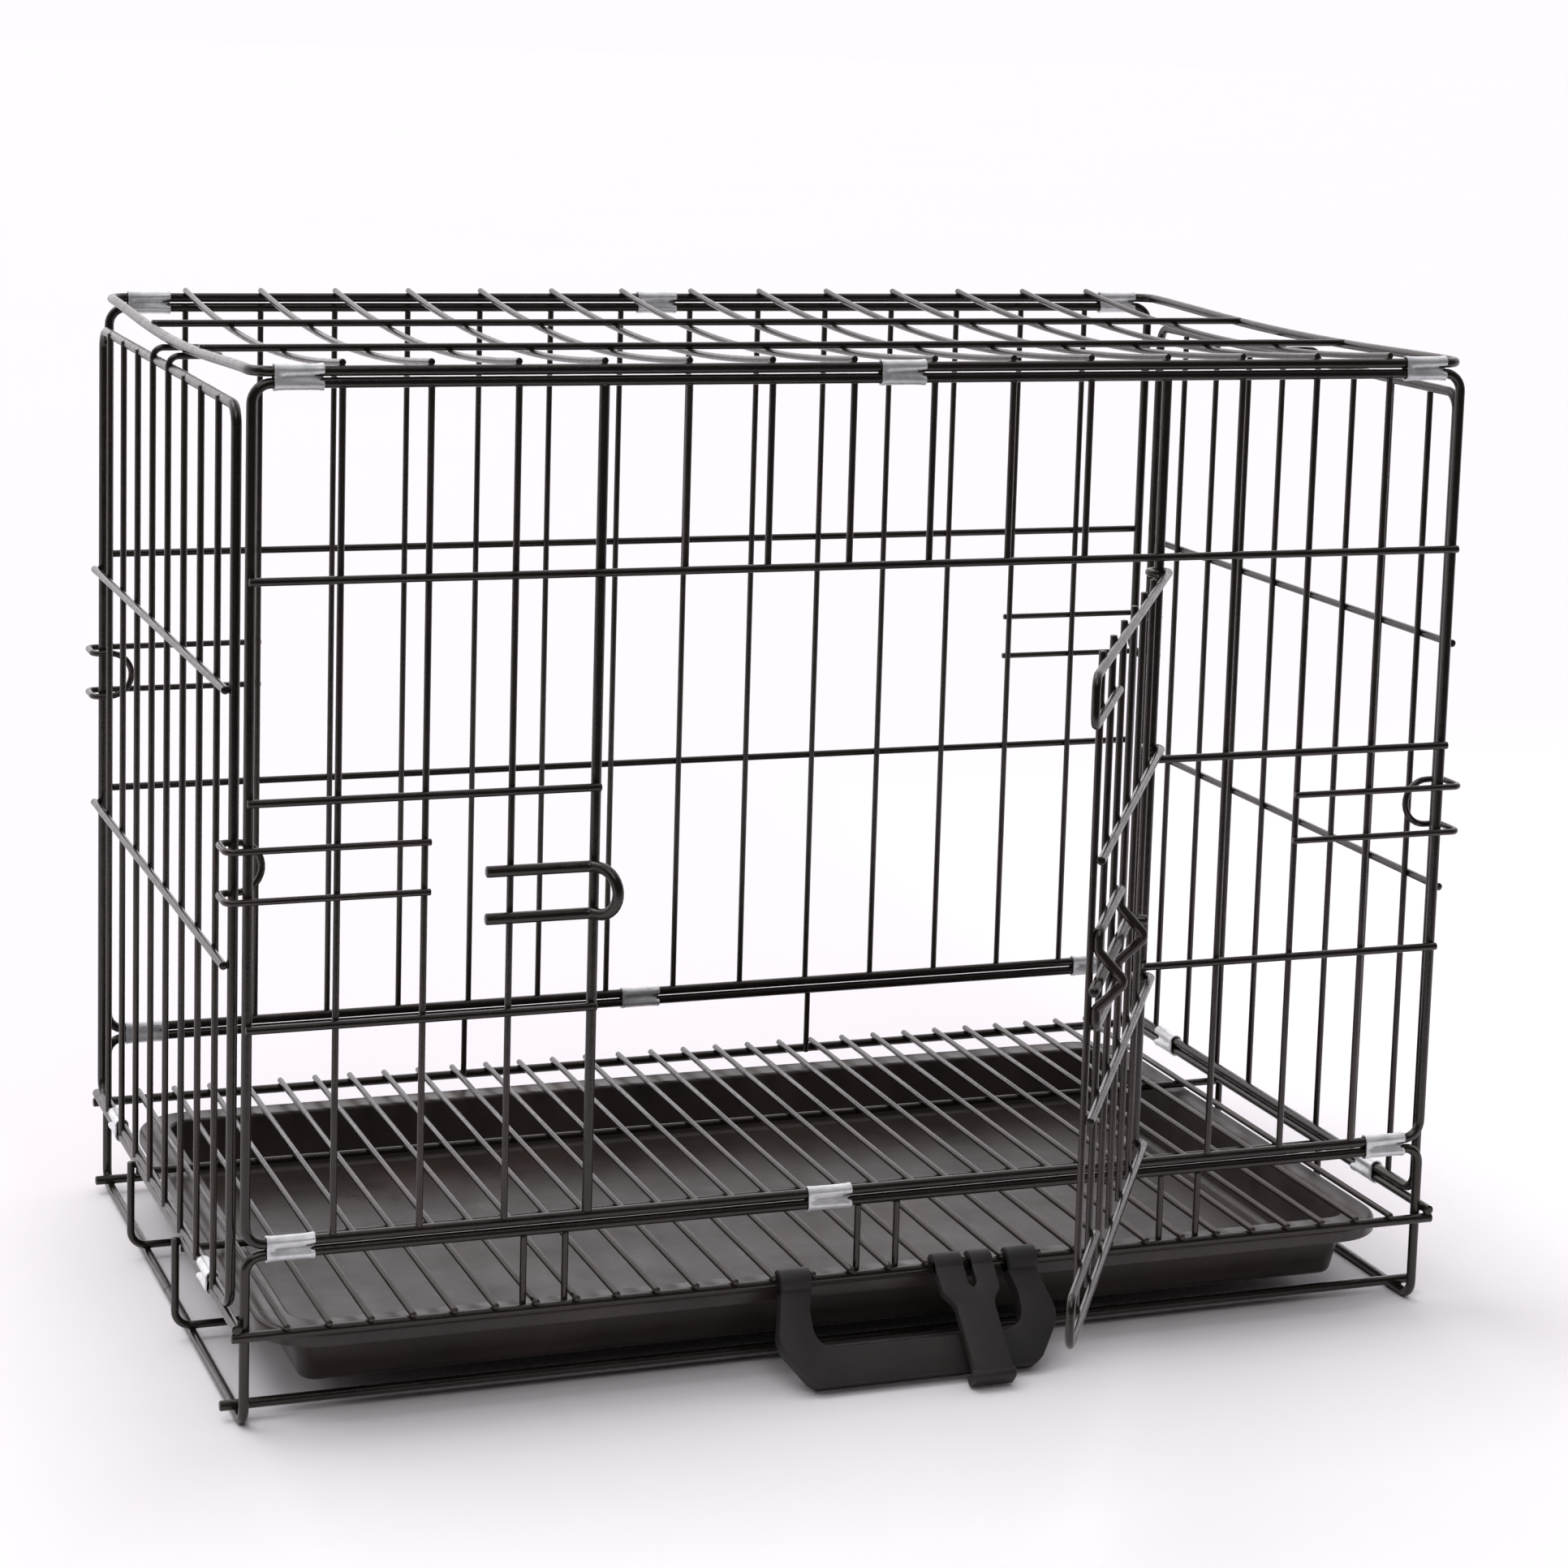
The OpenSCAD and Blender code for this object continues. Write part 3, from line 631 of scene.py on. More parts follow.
@dataclass(frozen=True)
class Crate:
    """Sizes that the sub-assemblies share, in millimetres."""

    half_len: float = 300.0
    half_w: float = 180.0
    top_z: float = 476.0
    base_top_z: float = 81.2
    floor_rail_z: float = 45.0
    frame_d: float = 4.8
    rail_d: float = 3.8
    bar_d: float = 3.2
    frame_bend: float = 9.0
    sunk: float = 0.3
    pair_step: float = 5.2
    bays_x: int = 15
    bays_y: int = 9
    latch_bay: int = 4
    hinge_bay: int = 11
    overhang: float = 1.5
    braces: Triple = (389.0, 290.0, 187.0)
    bolt_z: float = 242.5

    def on(self, first: float, second: float) -> float:
        """Distance between the centres of two welded wires."""
        return (first + second) / 2 - self.sunk

    def bay(self, number: float) -> float:
        """X of an upright, counted from the left end."""
        return -self.half_len + 2 * self.half_len * number / self.bays_x

    @property
    def pitch_x(self) -> float:
        """Distance between the front and back panels' bars."""
        return 2 * self.half_len / self.bays_x

    @property
    def pitch_y(self) -> float:
        """Distance between the end panels' bars."""
        return 2 * self.half_w / self.bays_y

    @property
    def panel_low_z(self) -> float:
        """Height of the front and back panels' lower wires."""
        return self.base_top_z + self.pair_step

    @property
    def floor_rail_y(self) -> float:
        """Distance of the outer floor rails from the middle."""
        return self.half_w + self.on(self.frame_d, self.frame_d)

    @property
    def end_x(self) -> float:
        """Distance of the end panels and the rails they hinge on from the middle."""
        return self.half_len + self.on(self.frame_d, self.frame_d)

    @property
    def side_rail_z(self) -> float:
        """Height of the rails that the end panels hinge on."""
        return self.floor_rail_z + self.on(self.frame_d, self.frame_d)

    @property
    def mid_y(self) -> float:
        """Distance of the runners and middle floor rails from the middle."""
        return 1.5 * self.pitch_y


@dataclass
class Assembly:
    """A sub-assembly, with the sizes and finishes that it shares with the others."""

    crate: Crate
    finishes: Finishes

    def piece(self, wires: Wires, name: str, node: str, body: str = "cage") -> None:
        """Finishes wires as one painted piece, thin wires in the bars' paint and the rest in the frame's.

        Args:
            wires: the piece's wires.
            name: its name.
            node: solid that it replaces.
            body: body that it moves with.
        """
        finish = self.finishes.bars if wires.sides == THIN_SIDES else self.finishes.frame
        fit(wires.finish(name), body, node, finish)


# ---------------- base


@dataclass
class Base(Assembly):
    """Bent base wires, hangers under the tray, and the wire floor."""

    leg_bend: float = 8.0
    runner_bend: float = 8.0
    ground_inset: float = 13.0
    mid_rail_d: float = 4.0
    rail_overhang: float = 2.5
    bar_count: int = 30
    bar_margin: float = 18.0
    bar_overhang: float = 1.0
    bar_spot_drop: float = 1.5
    skirt_half: float = 10.0
    skirt_pitches: Triple = (-8.0, 0.0, 8.5)
    skirt_shifts: Triple = (-4.8, 5.0, 0.0)
    back_skirt: Pair = (5.5, -5.0)
    skirt_spot_out: float = 1.3

    def __post_init__(self) -> None:
        """Works out the places that the base's wires share."""
        c = self.crate
        self.ground_z = c.frame_d / 2
        self.runner_x = c.end_x + c.on(c.frame_d, c.rail_d)
        self.reach = c.half_len - self.bar_margin
        self.pitch = 2 * self.reach / (self.bar_count - 1)
        self.bar_z = c.floor_rail_z + c.on(c.frame_d, c.bar_d)
        self.mid_rail_z = c.floor_rail_z + (c.frame_d - self.mid_rail_d) / 2

    def bent_frame(self, face: Face) -> None:
        """The upper rail, two legs and half of each ground wire, bent from one wire.

        Args:
            face: front or back.
        """
        c = self.crate
        x, y, low, high = c.half_len, face.value * c.half_w, self.ground_z, c.base_top_z
        wires = Wires()
        wires.bent([(-x, 0, low), (-x, y, low), (-x, y, high), (x, y, high), (x, y, low), (x, 0, low)],
                   c.frame_d, self.leg_bend)
        self.piece(wires, f"base_{face.label}_wire", f"base_{face.label}_frame")

    def ground_rails(self) -> None:
        """Front and back wires across the ground wires."""
        c = self.crate
        wires = Wires()
        x, z = self.runner_x, self.ground_z + c.on(c.frame_d, c.frame_d)
        for y in (-c.half_w + self.ground_inset, c.half_w - self.ground_inset):
            wires.straight((-x, y, z), (x, y, z), c.frame_d)
            for s in BOTH:
                wires.weld((s * c.half_len, y, (z + self.ground_z) / 2), Spot.GROUND_RAIL)
        self.piece(wires, "ground_rail_wires", "ground_rails")

    def runner(self, face: Face) -> None:
        """A hanger that passes under the tray and up outside both side rails.

        Args:
            face: front or back.
        """
        c = self.crate
        x, y = self.runner_x, face.value * c.mid_y
        low, high = self.ground_z + c.on(c.frame_d, c.rail_d), c.side_rail_z + c.overhang
        wires = Wires()
        wires.bent([(-x, y, high), (-x, y, low), (x, y, low), (x, y, high)], c.rail_d, self.runner_bend)
        for s in BOTH:
            wires.weld((s * (x + c.end_x) / 2, y, c.side_rail_z), Spot.RUNNER_SIDE)
            wires.weld((s * c.half_len, y, (low + self.ground_z) / 2), Spot.RUNNER_FOOT)
        self.piece(wires, f"runner_{face.label}_wire", f"runner_{face.label}")

    def side_rail(self, side: Side) -> None:
        """The rail across one end that its panel hinges on.

        Args:
            side: left or right.
        """
        c, s = self.crate, side.value
        wires = Wires()
        x, y, z = s * c.end_x, c.floor_rail_y + c.frame_d / 2, c.side_rail_z
        wires.straight((x, -y, z), (x, y, z), c.frame_d)
        for t in BOTH:
            wires.weld((x, t * c.floor_rail_y, (z + c.floor_rail_z) / 2), Spot.SIDE_RAIL_FLOOR)
            wires.weld((s * (c.end_x + c.half_len) / 2, t * c.half_w, z), Spot.SIDE_RAIL_LEG)
        self.piece(wires, f"side_rail_{side.label}_wire", f"side_rail_{side.label}")

    def floor_rails(self) -> None:
        """Outer and middle rails that carry the wire floor."""
        c = self.crate
        outer, mid = c.end_x + self.rail_overhang, c.end_x + c.overhang
        wires = Wires()
        for s in BOTH:
            for x, y, z, size in ((outer, s * c.floor_rail_y, c.floor_rail_z, c.frame_d),
                                  (mid, s * c.mid_y, self.mid_rail_z, self.mid_rail_d)):
                wires.straight((-x, y, z), (x, y, z), size)
            for t in BOTH:
                wires.weld((t * c.half_len, s * (c.half_w + c.floor_rail_y) / 2, c.floor_rail_z),
                           Spot.FLOOR_RAIL_LEG)
        self.piece(wires, "floor_rail_wires", "floor_rails")

    def floor_bars(self) -> None:
        """The thin wires of the floor, with the spots that weld them to their rails."""
        c = self.crate
        wires = Wires(THIN_SIDES)
        y = c.floor_rail_y + c.frame_d / 2 + self.bar_overhang
        for number in range(self.bar_count):
            x = -self.reach + number * self.pitch
            wires.straight((x, -y, self.bar_z), (x, y, self.bar_z), c.bar_d, CutEnd.ROUNDED)
            for rail_y in (-c.floor_rail_y, -c.mid_y, c.mid_y, c.floor_rail_y):
                wires.weld((x, rail_y, self.bar_z - self.bar_spot_drop), Spot.FLOOR_BAR)
        self.piece(wires, "floor_bar_wires", "floor_bars")

    def skirt(self) -> None:
        """Short uprights between the floor rails and the base's upper wires, in pairs."""
        c = self.crate
        wires = Wires(THIN_SIDES)
        y = c.floor_rail_y - c.on(c.frame_d, c.bar_d)
        low, high = c.floor_rail_z - c.overhang, c.base_top_z - c.frame_d / 2 + c.sunk
        middles = [n * self.pitch + shift for n, shift in zip(self.skirt_pitches, self.skirt_shifts)]
        spots = [(x + t * self.skirt_half, -y) for x in middles for t in BOTH]
        spots += [(t * (self.back_skirt[0] * self.pitch + self.back_skirt[1]), y) for t in BOTH]
        for x, at in spots:
            wires.straight((x, at, low), (x, at, high), c.bar_d)
            wires.weld((x, at, high), Spot.SKIRT_TOP)
            wires.weld((x, math.copysign(y + self.skirt_spot_out, at), c.floor_rail_z), Spot.SKIRT_FOOT)
        self.piece(wires, "skirt_bar_wires", "skirt_wires")

    def build(self) -> None:
        """Builds and dresses every piece of the base."""
        for face in Face:
            self.bent_frame(face)
            self.runner(face)
        for side in Side:
            self.side_rail(side)
        self.ground_rails()
        self.floor_rails()
        self.floor_bars()
        self.skirt()


# ---------------- front and back panels


@dataclass
class Panel(Assembly):
    """An upright panel: a closed wire frame, braces outside it and thin bars."""

    face: Face
    brace_spot: float = 2.2
    bar_spot: float = 1.5

    @property
    def y(self) -> float:
        """Plane of the panel's frame."""
        return self.outside(0.0)

    @property
    def bar_y(self) -> float:
        """Plane of the panel's bars."""
        return self.outside((self.crate.frame_d - self.crate.bar_d) / 2)

    @property
    def bar_ends(self) -> Pair:
        """Lowest and highest point of a full bar."""
        c = self.crate
        return c.panel_low_z + c.frame_d / 2 - c.sunk, c.top_z - c.frame_d / 2 + c.sunk

    def outside(self, out: float) -> float:
        """A plane that lies outside the panel's frame by a distance."""
        return self.face.value * (self.crate.half_w + out)

    def closed_frame(self) -> None:
        """The panel's bent frame, with its butt weld in the lower wire."""
        c = self.crate
        x, y, low, high = c.half_len, self.y, c.panel_low_z, c.top_z
        wires = Wires()
        wires.bent([(0, y, low), (x, y, low), (x, y, high), (-x, y, high), (-x, y, low), (0, y, low)],
                   c.frame_d, c.frame_bend, CutEnd.PLAIN)
        wires.butt_weld((0, y, low), c.frame_d, 0)
        self.piece(wires, f"{self.face.label}_frame_wire", f"{self.face.label}_frame")

    def braced(self, name: str, node: str, span: Pair, posts: Pair, heights: Iterable[float]) -> None:
        """Horizontal braces outside the frame.

        Args:
            name: name of the piece.
            node: solid that it replaces.
            span: X of their two ends.
            posts: X of the uprights that they are welded to.
            heights: height of each.
        """
        c = self.crate
        wires = Wires()
        y = self.outside(c.on(c.frame_d, c.rail_d))
        for z in heights:
            wires.straight((span[0], y, z), (span[1], y, z), c.rail_d)
            for x in posts:
                wires.weld((x, self.outside(self.brace_spot), z), Spot.BRACE_POST)
        self.piece(wires, name, node)

    def bars(self, name: str, node: str, bays: Iterable[int], low: float, heights: Iterable[float]) -> None:
        """Thin bars at the given bays.

        Args:
            name: name of the piece.
            node: solid that it replaces.
            bays: numbers of the bays.
            low: height of the bars' lower ends.
            heights: heights at which a brace is welded to them.
        """
        c, y = self.crate, self.bar_y
        bottom, high = self.bar_ends
        wires = Wires(THIN_SIDES)
        for x in map(c.bay, bays):
            wires.straight((x, y, low), (x, y, high), c.bar_d, CutEnd.PLAIN)
            for z in (high, low) if low == bottom else (high,):
                wires.weld((x, y, z), Spot.BAR_END)
            for z in heights:
                wires.weld((x, y + self.face.value * self.bar_spot, z), Spot.BAR_BRACE)
        self.piece(wires, name, node)


@dataclass
class CornerHooks(Panel):
    """Closed wire loops round the corners that hold the end panels' posts."""

    gap: float = 23.0
    back: float = 19.0
    turned: float = 20.0
    bend: float = 4.0
    height: float = 245.5
    post_room: float = 0.7
    bays: int = 2
    tail: float = 2.0
    spot: float = 2.3

    def hook(self, side: Side) -> None:
        """The loop at one corner.

        Args:
            side: left or right.
        """
        c, s = self.crate, side.value
        out = self.outside(c.on(c.frame_d, c.bar_d))
        back = out - self.face.value * self.back
        reach = c.end_x + c.on(c.frame_d, c.bar_d) + c.bar_d / 2 + self.post_room
        x, round_x = s * reach, s * (reach - self.turned) + s * self.gap / 2
        start = s * (c.half_len - self.bays * c.pitch_x - self.tail)
        low, high = self.height, self.height + self.gap
        wires = Wires(THIN_SIDES)
        pen = wires.pen((start, out, low), (x, out, low), c.bar_d)
        pen.through([(x, out, low), (x, back, low), (round_x, back, low)], self.bend)
        pen.arc(pen.at + Vector((0, 0, self.gap / 2)), Vector((0, s, 0)), math.pi)
        pen.through([(x, back, high), (x, out, high), (start, out, high)], self.bend)
        wires.close(pen, c.bar_d)
        for z in (low, high):
            wires.weld((s * c.half_len, self.outside(self.brace_spot), z), Spot.HOOK_POST)
            for bay in range(1, self.bays + 1):
                wires.weld((s * (c.half_len - c.pitch_x * bay), self.outside(self.spot), z), Spot.HOOK_BAR)
        name = f"{self.face.label}_hook_{side.label}"
        self.piece(wires, name + "_wire", name)

    def build(self) -> None:
        """Builds both corners' loops."""
        for side in Side:
            self.hook(side)


@dataclass
class FrontPanel(Panel):
    """The front, with the doorway's posts and the keeper that the bolt slides behind."""

    keeper_d: float = 5.4
    keeper_gap: float = 22.0
    keeper_out: float = 17.0
    keeper_turn: float = -3.0
    keeper_reach: float = 6.4
    keeper_bend: float = 4.5
    keeper_tail: float = 52.0
    keeper_spot: float = 2.6

    def posts(self) -> None:
        """The two thick uprights beside the doorway."""
        c = self.crate
        for bay, node in ((c.latch_bay, "latch_post"), (c.hinge_bay, "hinge_post")):
            wires = Wires()
            x, (low, high) = c.bay(bay), self.bar_ends
            wires.straight((x, self.y, low), (x, self.y, high), c.frame_d, CutEnd.PLAIN)
            for z in (low, high):
                wires.weld((x, self.y, z), Spot.POST_END)
            wires.weld((x, self.outside(self.brace_spot), c.braces[0]), Spot.BRACE_POST)
            self.piece(wires, node + "_wire", node)

    def rails(self) -> None:
        """The braces above and beside the doorway."""
        c = self.crate
        side, end = c.half_len, c.half_len + c.overhang
        latch, hinge = c.bay(c.latch_bay), c.bay(c.hinge_bay)
        for node, span, posts, heights in (
                ("front_rail_upper", (-end, end), (-side, side), c.braces[:1]),
                ("front_rails_left", (-end, latch + c.overhang), (-side, latch), c.braces[1:]),
                ("front_rails_right", (hinge - c.overhang, end), (side, hinge), c.braces[1:])):
            self.braced(node + "_wire", node, span, posts, heights)

    def keeper(self) -> None:
        """The thick staple on the latch post, its round closed end bowed out round the bolt."""
        c, radius = self.crate, self.keeper_gap / 2
        post = c.bay(c.latch_bay)
        y = self.y - c.on(c.frame_d, self.keeper_d)
        start, turn = post - self.keeper_tail, post + self.keeper_turn
        span = Vector((self.keeper_reach - self.keeper_turn, self.y - self.keeper_out - y, 0))
        ahead = span.normalized()
        low, high = c.bolt_z - radius, c.bolt_z + radius
        wires = Wires(CLOSE_SIDES)
        pen = wires.pen((start, y, low), (turn, y, low), self.keeper_d)
        pen.through([(turn, y, low), Vector((turn, y, low)) + span - ahead * radius], self.keeper_bend)
        pen.arc(pen.at + Vector((0, 0, radius)), ahead.cross(Vector((0, 0, 1))), math.pi)
        pen.through([(turn, y, high), (start, y, high)], self.keeper_bend)
        wires.close(pen, self.keeper_d)
        for z in (low, high):
            wires.weld((post, self.outside(self.brace_spot), z), Spot.KEEPER_POST)
            wires.weld((c.bay(c.latch_bay - 1), self.outside(self.keeper_spot), z), Spot.KEEPER_BAR)
        self.piece(wires, "bolt_keeper_wire", "bolt_keeper")

    def build(self) -> None:
        """Builds and dresses every piece of the front."""
        c, low = self.crate, self.bar_ends[0]
        self.closed_frame()
        self.rails()
        self.posts()
        for where, bays, bottom, braces in (
                ("left", range(1, c.latch_bay), low, c.braces),
                ("right", range(c.hinge_bay + 1, c.bays_x), low, c.braces),
                ("over_door", range(c.latch_bay + 1, c.hinge_bay), c.braces[0] - c.rail_d / 2, c.braces[:1])):
            self.bars(f"front_bar_wires_{where}", f"front_bars_{where}", bays, bottom, braces)
        self.keeper()


@dataclass
class BackPanel(Panel):
    """The back, with two braces over its whole length."""

    braces: Pair = (345.0, 218.7)

    def build(self) -> None:
        """Builds and dresses every piece of the back."""
        c = self.crate
        end = c.half_len + c.overhang
        self.closed_frame()
        self.braced("back_rail_wires", "back_rails", (-end, end), (-c.half_len, c.half_len), self.braces)
        self.bars("back_bar_wires", "back_bars", range(1, c.bays_x), self.bar_ends[0], self.braces)


# ---------------- roof


@dataclass
class Roof(Assembly):
    """The roof: a bent frame, thin wires that sag across it and two long wires over them."""

    dish: float = 10.0
    long_d: float = 3.6
    end_dips: Pair = (5.0, 3.4)
    end_reach: float = 4.0
    end_cuts: int = 23
    dip_power: float = 1.5
    sag_step: float = 0.4
    cross_inset: float = 1.0
    cross_spot: float = 2.1
    long_spot: float = 1.5
    end_spot: float = 1.6

    @property
    def z(self) -> float:
        """Height of the roof's frame."""
        return self.crate.top_z + self.crate.pair_step

    def at_end(self, vert: BMVert, side: Side) -> bool:
        """Whether a vertex of the frame belongs to one side's end wire."""
        return side.value * vert.co.x > self.crate.half_len - self.end_reach

    def frame_wire(self) -> None:
        """The roof's frame, its end wires pulled down a little in the middle."""
        c = self.crate
        x, y, z = c.half_len, c.half_w, self.z
        wires = Wires()
        wires.bent([(0, -y, z), (x, -y, z), (x, y, z), (-x, y, z), (-x, -y, z), (0, -y, z)],
                   c.frame_d, c.frame_bend, CutEnd.PLAIN)
        wires.butt_weld((0, -y, z), c.frame_d, 0)
        bm = wires.bm
        for side, dip in zip(Side, self.end_dips):
            ends = [e for e in bm.edges if e.calc_length() > y and self.at_end(e.verts[0], side)
                    and self.at_end(e.verts[1], side)]
            bmesh.ops.subdivide_edges(bm, edges=ends, cuts=self.end_cuts, use_grid_fill=False)
            for vert in bm.verts:
                if self.at_end(vert, side):
                    share = max(0.0, 1 - (vert.co.y / (y - c.frame_bend)) ** 2)
                    vert.co.z -= dip * share ** self.dip_power
        self.piece(wires, "roof_frame_wire", "roof_frame")

    def cross_wires(self) -> float:
        """The sagging wires.

        Returns:
            Height of the long wires that lie on them.
        """
        c = self.crate
        radius = (c.half_w ** 2 + self.dish ** 2) / (2 * self.dish)
        low = self.z + c.on(c.frame_d, c.bar_d) - self.dish
        centre_z = low + radius
        half = math.asin(c.half_w / radius)
        ahead = Vector((0, math.cos(half), -math.sin(half)))
        long_z = centre_z - math.sqrt(radius ** 2 - c.mid_y ** 2)
        wires = Wires(THIN_SIDES)
        for x in map(c.bay, range(1, c.bays_x)):
            pen = WirePen(wires.bm, Vector((x, -c.half_w, low + self.dish)), ahead, c.bar_d, THIN_SIDES)
            pen.arc(Vector((x, 0, centre_z)), Vector((1, 0, 0)), 2 * half, self.sag_step)
            wires.close(pen, c.bar_d)
            for s in BOTH:
                wires.weld((x, s * (c.half_w - self.cross_inset), self.z + self.cross_spot), Spot.CROSS_END)
                wires.weld((x, s * c.mid_y, long_z + self.long_spot), Spot.CROSS_LONG)
        self.piece(wires, "roof_cross_bar_wires", "roof_cross_wires")
        return long_z + c.on(self.long_d, c.bar_d)

    def build(self) -> None:
        """Builds and dresses every piece of the roof."""
        c = self.crate
        self.frame_wire()
        z = self.cross_wires()
        wires = Wires()
        reach = c.half_len - c.sunk
        for s in BOTH:
            wires.straight((-reach, s * c.mid_y, z), (reach, s * c.mid_y, z), self.long_d, CutEnd.PLAIN)
            for t in BOTH:
                wires.weld((t * (reach - self.end_spot), s * c.mid_y, z), Spot.LONG_END)
        self.piece(wires, "roof_long_wire_pair", "roof_long_wires")


# ---------------- end panels


@dataclass
class EndPanel(Assembly):
    """An end panel that folds down inwards, with a hook over its top rail."""

    side: Side
    braces: Pair = (339.0, 214.0)
    drop: float = 11.0
    inset: float = 10.0
    hook_reach: float = 25.0
    hook_z: float = 471.3
    hook_bend: float = 5.0
    bar_out: float = 1.8
    rail_out: float = 4.3
    bar_shares: tuple[float, ...] = (-3.5, -2.5, -1.5, 1.5, 2.5, 3.5)
    rail_spot: float = 1.9
    bar_spot: float = 0.4

    def __post_init__(self) -> None:
        """Works out the places that the panel's wires share."""
        c = self.crate
        self.low, self.high = c.side_rail_z + c.pair_step, c.top_z - self.drop
        self.ends = (self.low - c.overhang, self.high + c.overhang)
        self.half = c.half_w - self.inset

    def outside(self, out: float) -> float:
        """A plane that lies outside the panel's frame by a distance."""
        return self.side.value * (self.crate.end_x + out)

    def spots(self, wires: Wires, y: float) -> None:
        """Spots that weld an upright to the frame's upper and lower wires."""
        for z in (self.low, self.high):
            wires.weld((self.outside(self.bar_out) - self.side.value * self.bar_spot, y, z), Spot.END_BAR)

    def frame_wire(self) -> Wires:
        """The panel's bent frame, with its butt weld in the lower wire.

        Returns:
            The wires, to be finished.
        """
        c, x, y, low, high = self.crate, self.outside(0.0), self.half, self.low, self.high
        wires = Wires()
        wires.bent([(x, 0, low), (x, y, low), (x, y, high), (x, -y, high), (x, -y, low), (x, 0, low)],
                   c.frame_d, c.frame_bend, CutEnd.PLAIN)
        wires.butt_weld((x, 0, low), c.frame_d, 1)
        return wires

    def rails(self) -> Wires:
        """The two braces across the panel.

        Returns:
            The wires, to be finished.
        """
        x, reach = self.outside(self.rail_out), self.half + self.crate.overhang
        wires = Wires()
        for z in self.braces:
            wires.straight((x, -reach, z), (x, reach, z), self.crate.rail_d)
            for t in BOTH:
                wires.weld((x - self.side.value * self.rail_spot, t * self.half, z), Spot.END_RAIL)
        return wires

    def bars(self) -> Wires:
        """The thin bars on both sides of the hook's legs.

        Returns:
            The wires, to be finished.
        """
        x = self.outside(self.bar_out)
        wires = Wires(THIN_SIDES)
        for share in self.bar_shares:
            y = share * self.crate.pitch_y
            wires.straight((x, y, self.ends[0]), (x, y, self.ends[1]), self.crate.bar_d)
            self.spots(wires, y)
        return wires

    def hook(self) -> Wires:
        """The hook that reaches inwards under the roof's end wire, on two legs.

        Returns:
            The wires, to be finished.
        """
        c, y, low, z = self.crate, self.crate.pitch_y / 2, self.ends[0], self.hook_z
        x = self.outside(self.bar_out)
        inner = x - self.side.value * self.hook_reach
        wires = Wires(THIN_SIDES)
        wires.bent([(x, -y, low), (x, -y, z), (inner, -y, z), (inner, y, z), (x, y, z), (x, y, low)],
                   c.bar_d, self.hook_bend)
        for t in BOTH:
            self.spots(wires, t * y)
        return wires

    def build(self) -> None:
        """Builds and dresses every piece of the panel."""
        body = f"end_{self.side.label}"
        for part, wires in (("frame", self.frame_wire()), ("rails", self.rails()), ("bars", self.bars()),
                            ("hook", self.hook())):
            self.piece(wires, f"{body}_{part}_wire", f"{body}_{part}", body)


# ---------------- door


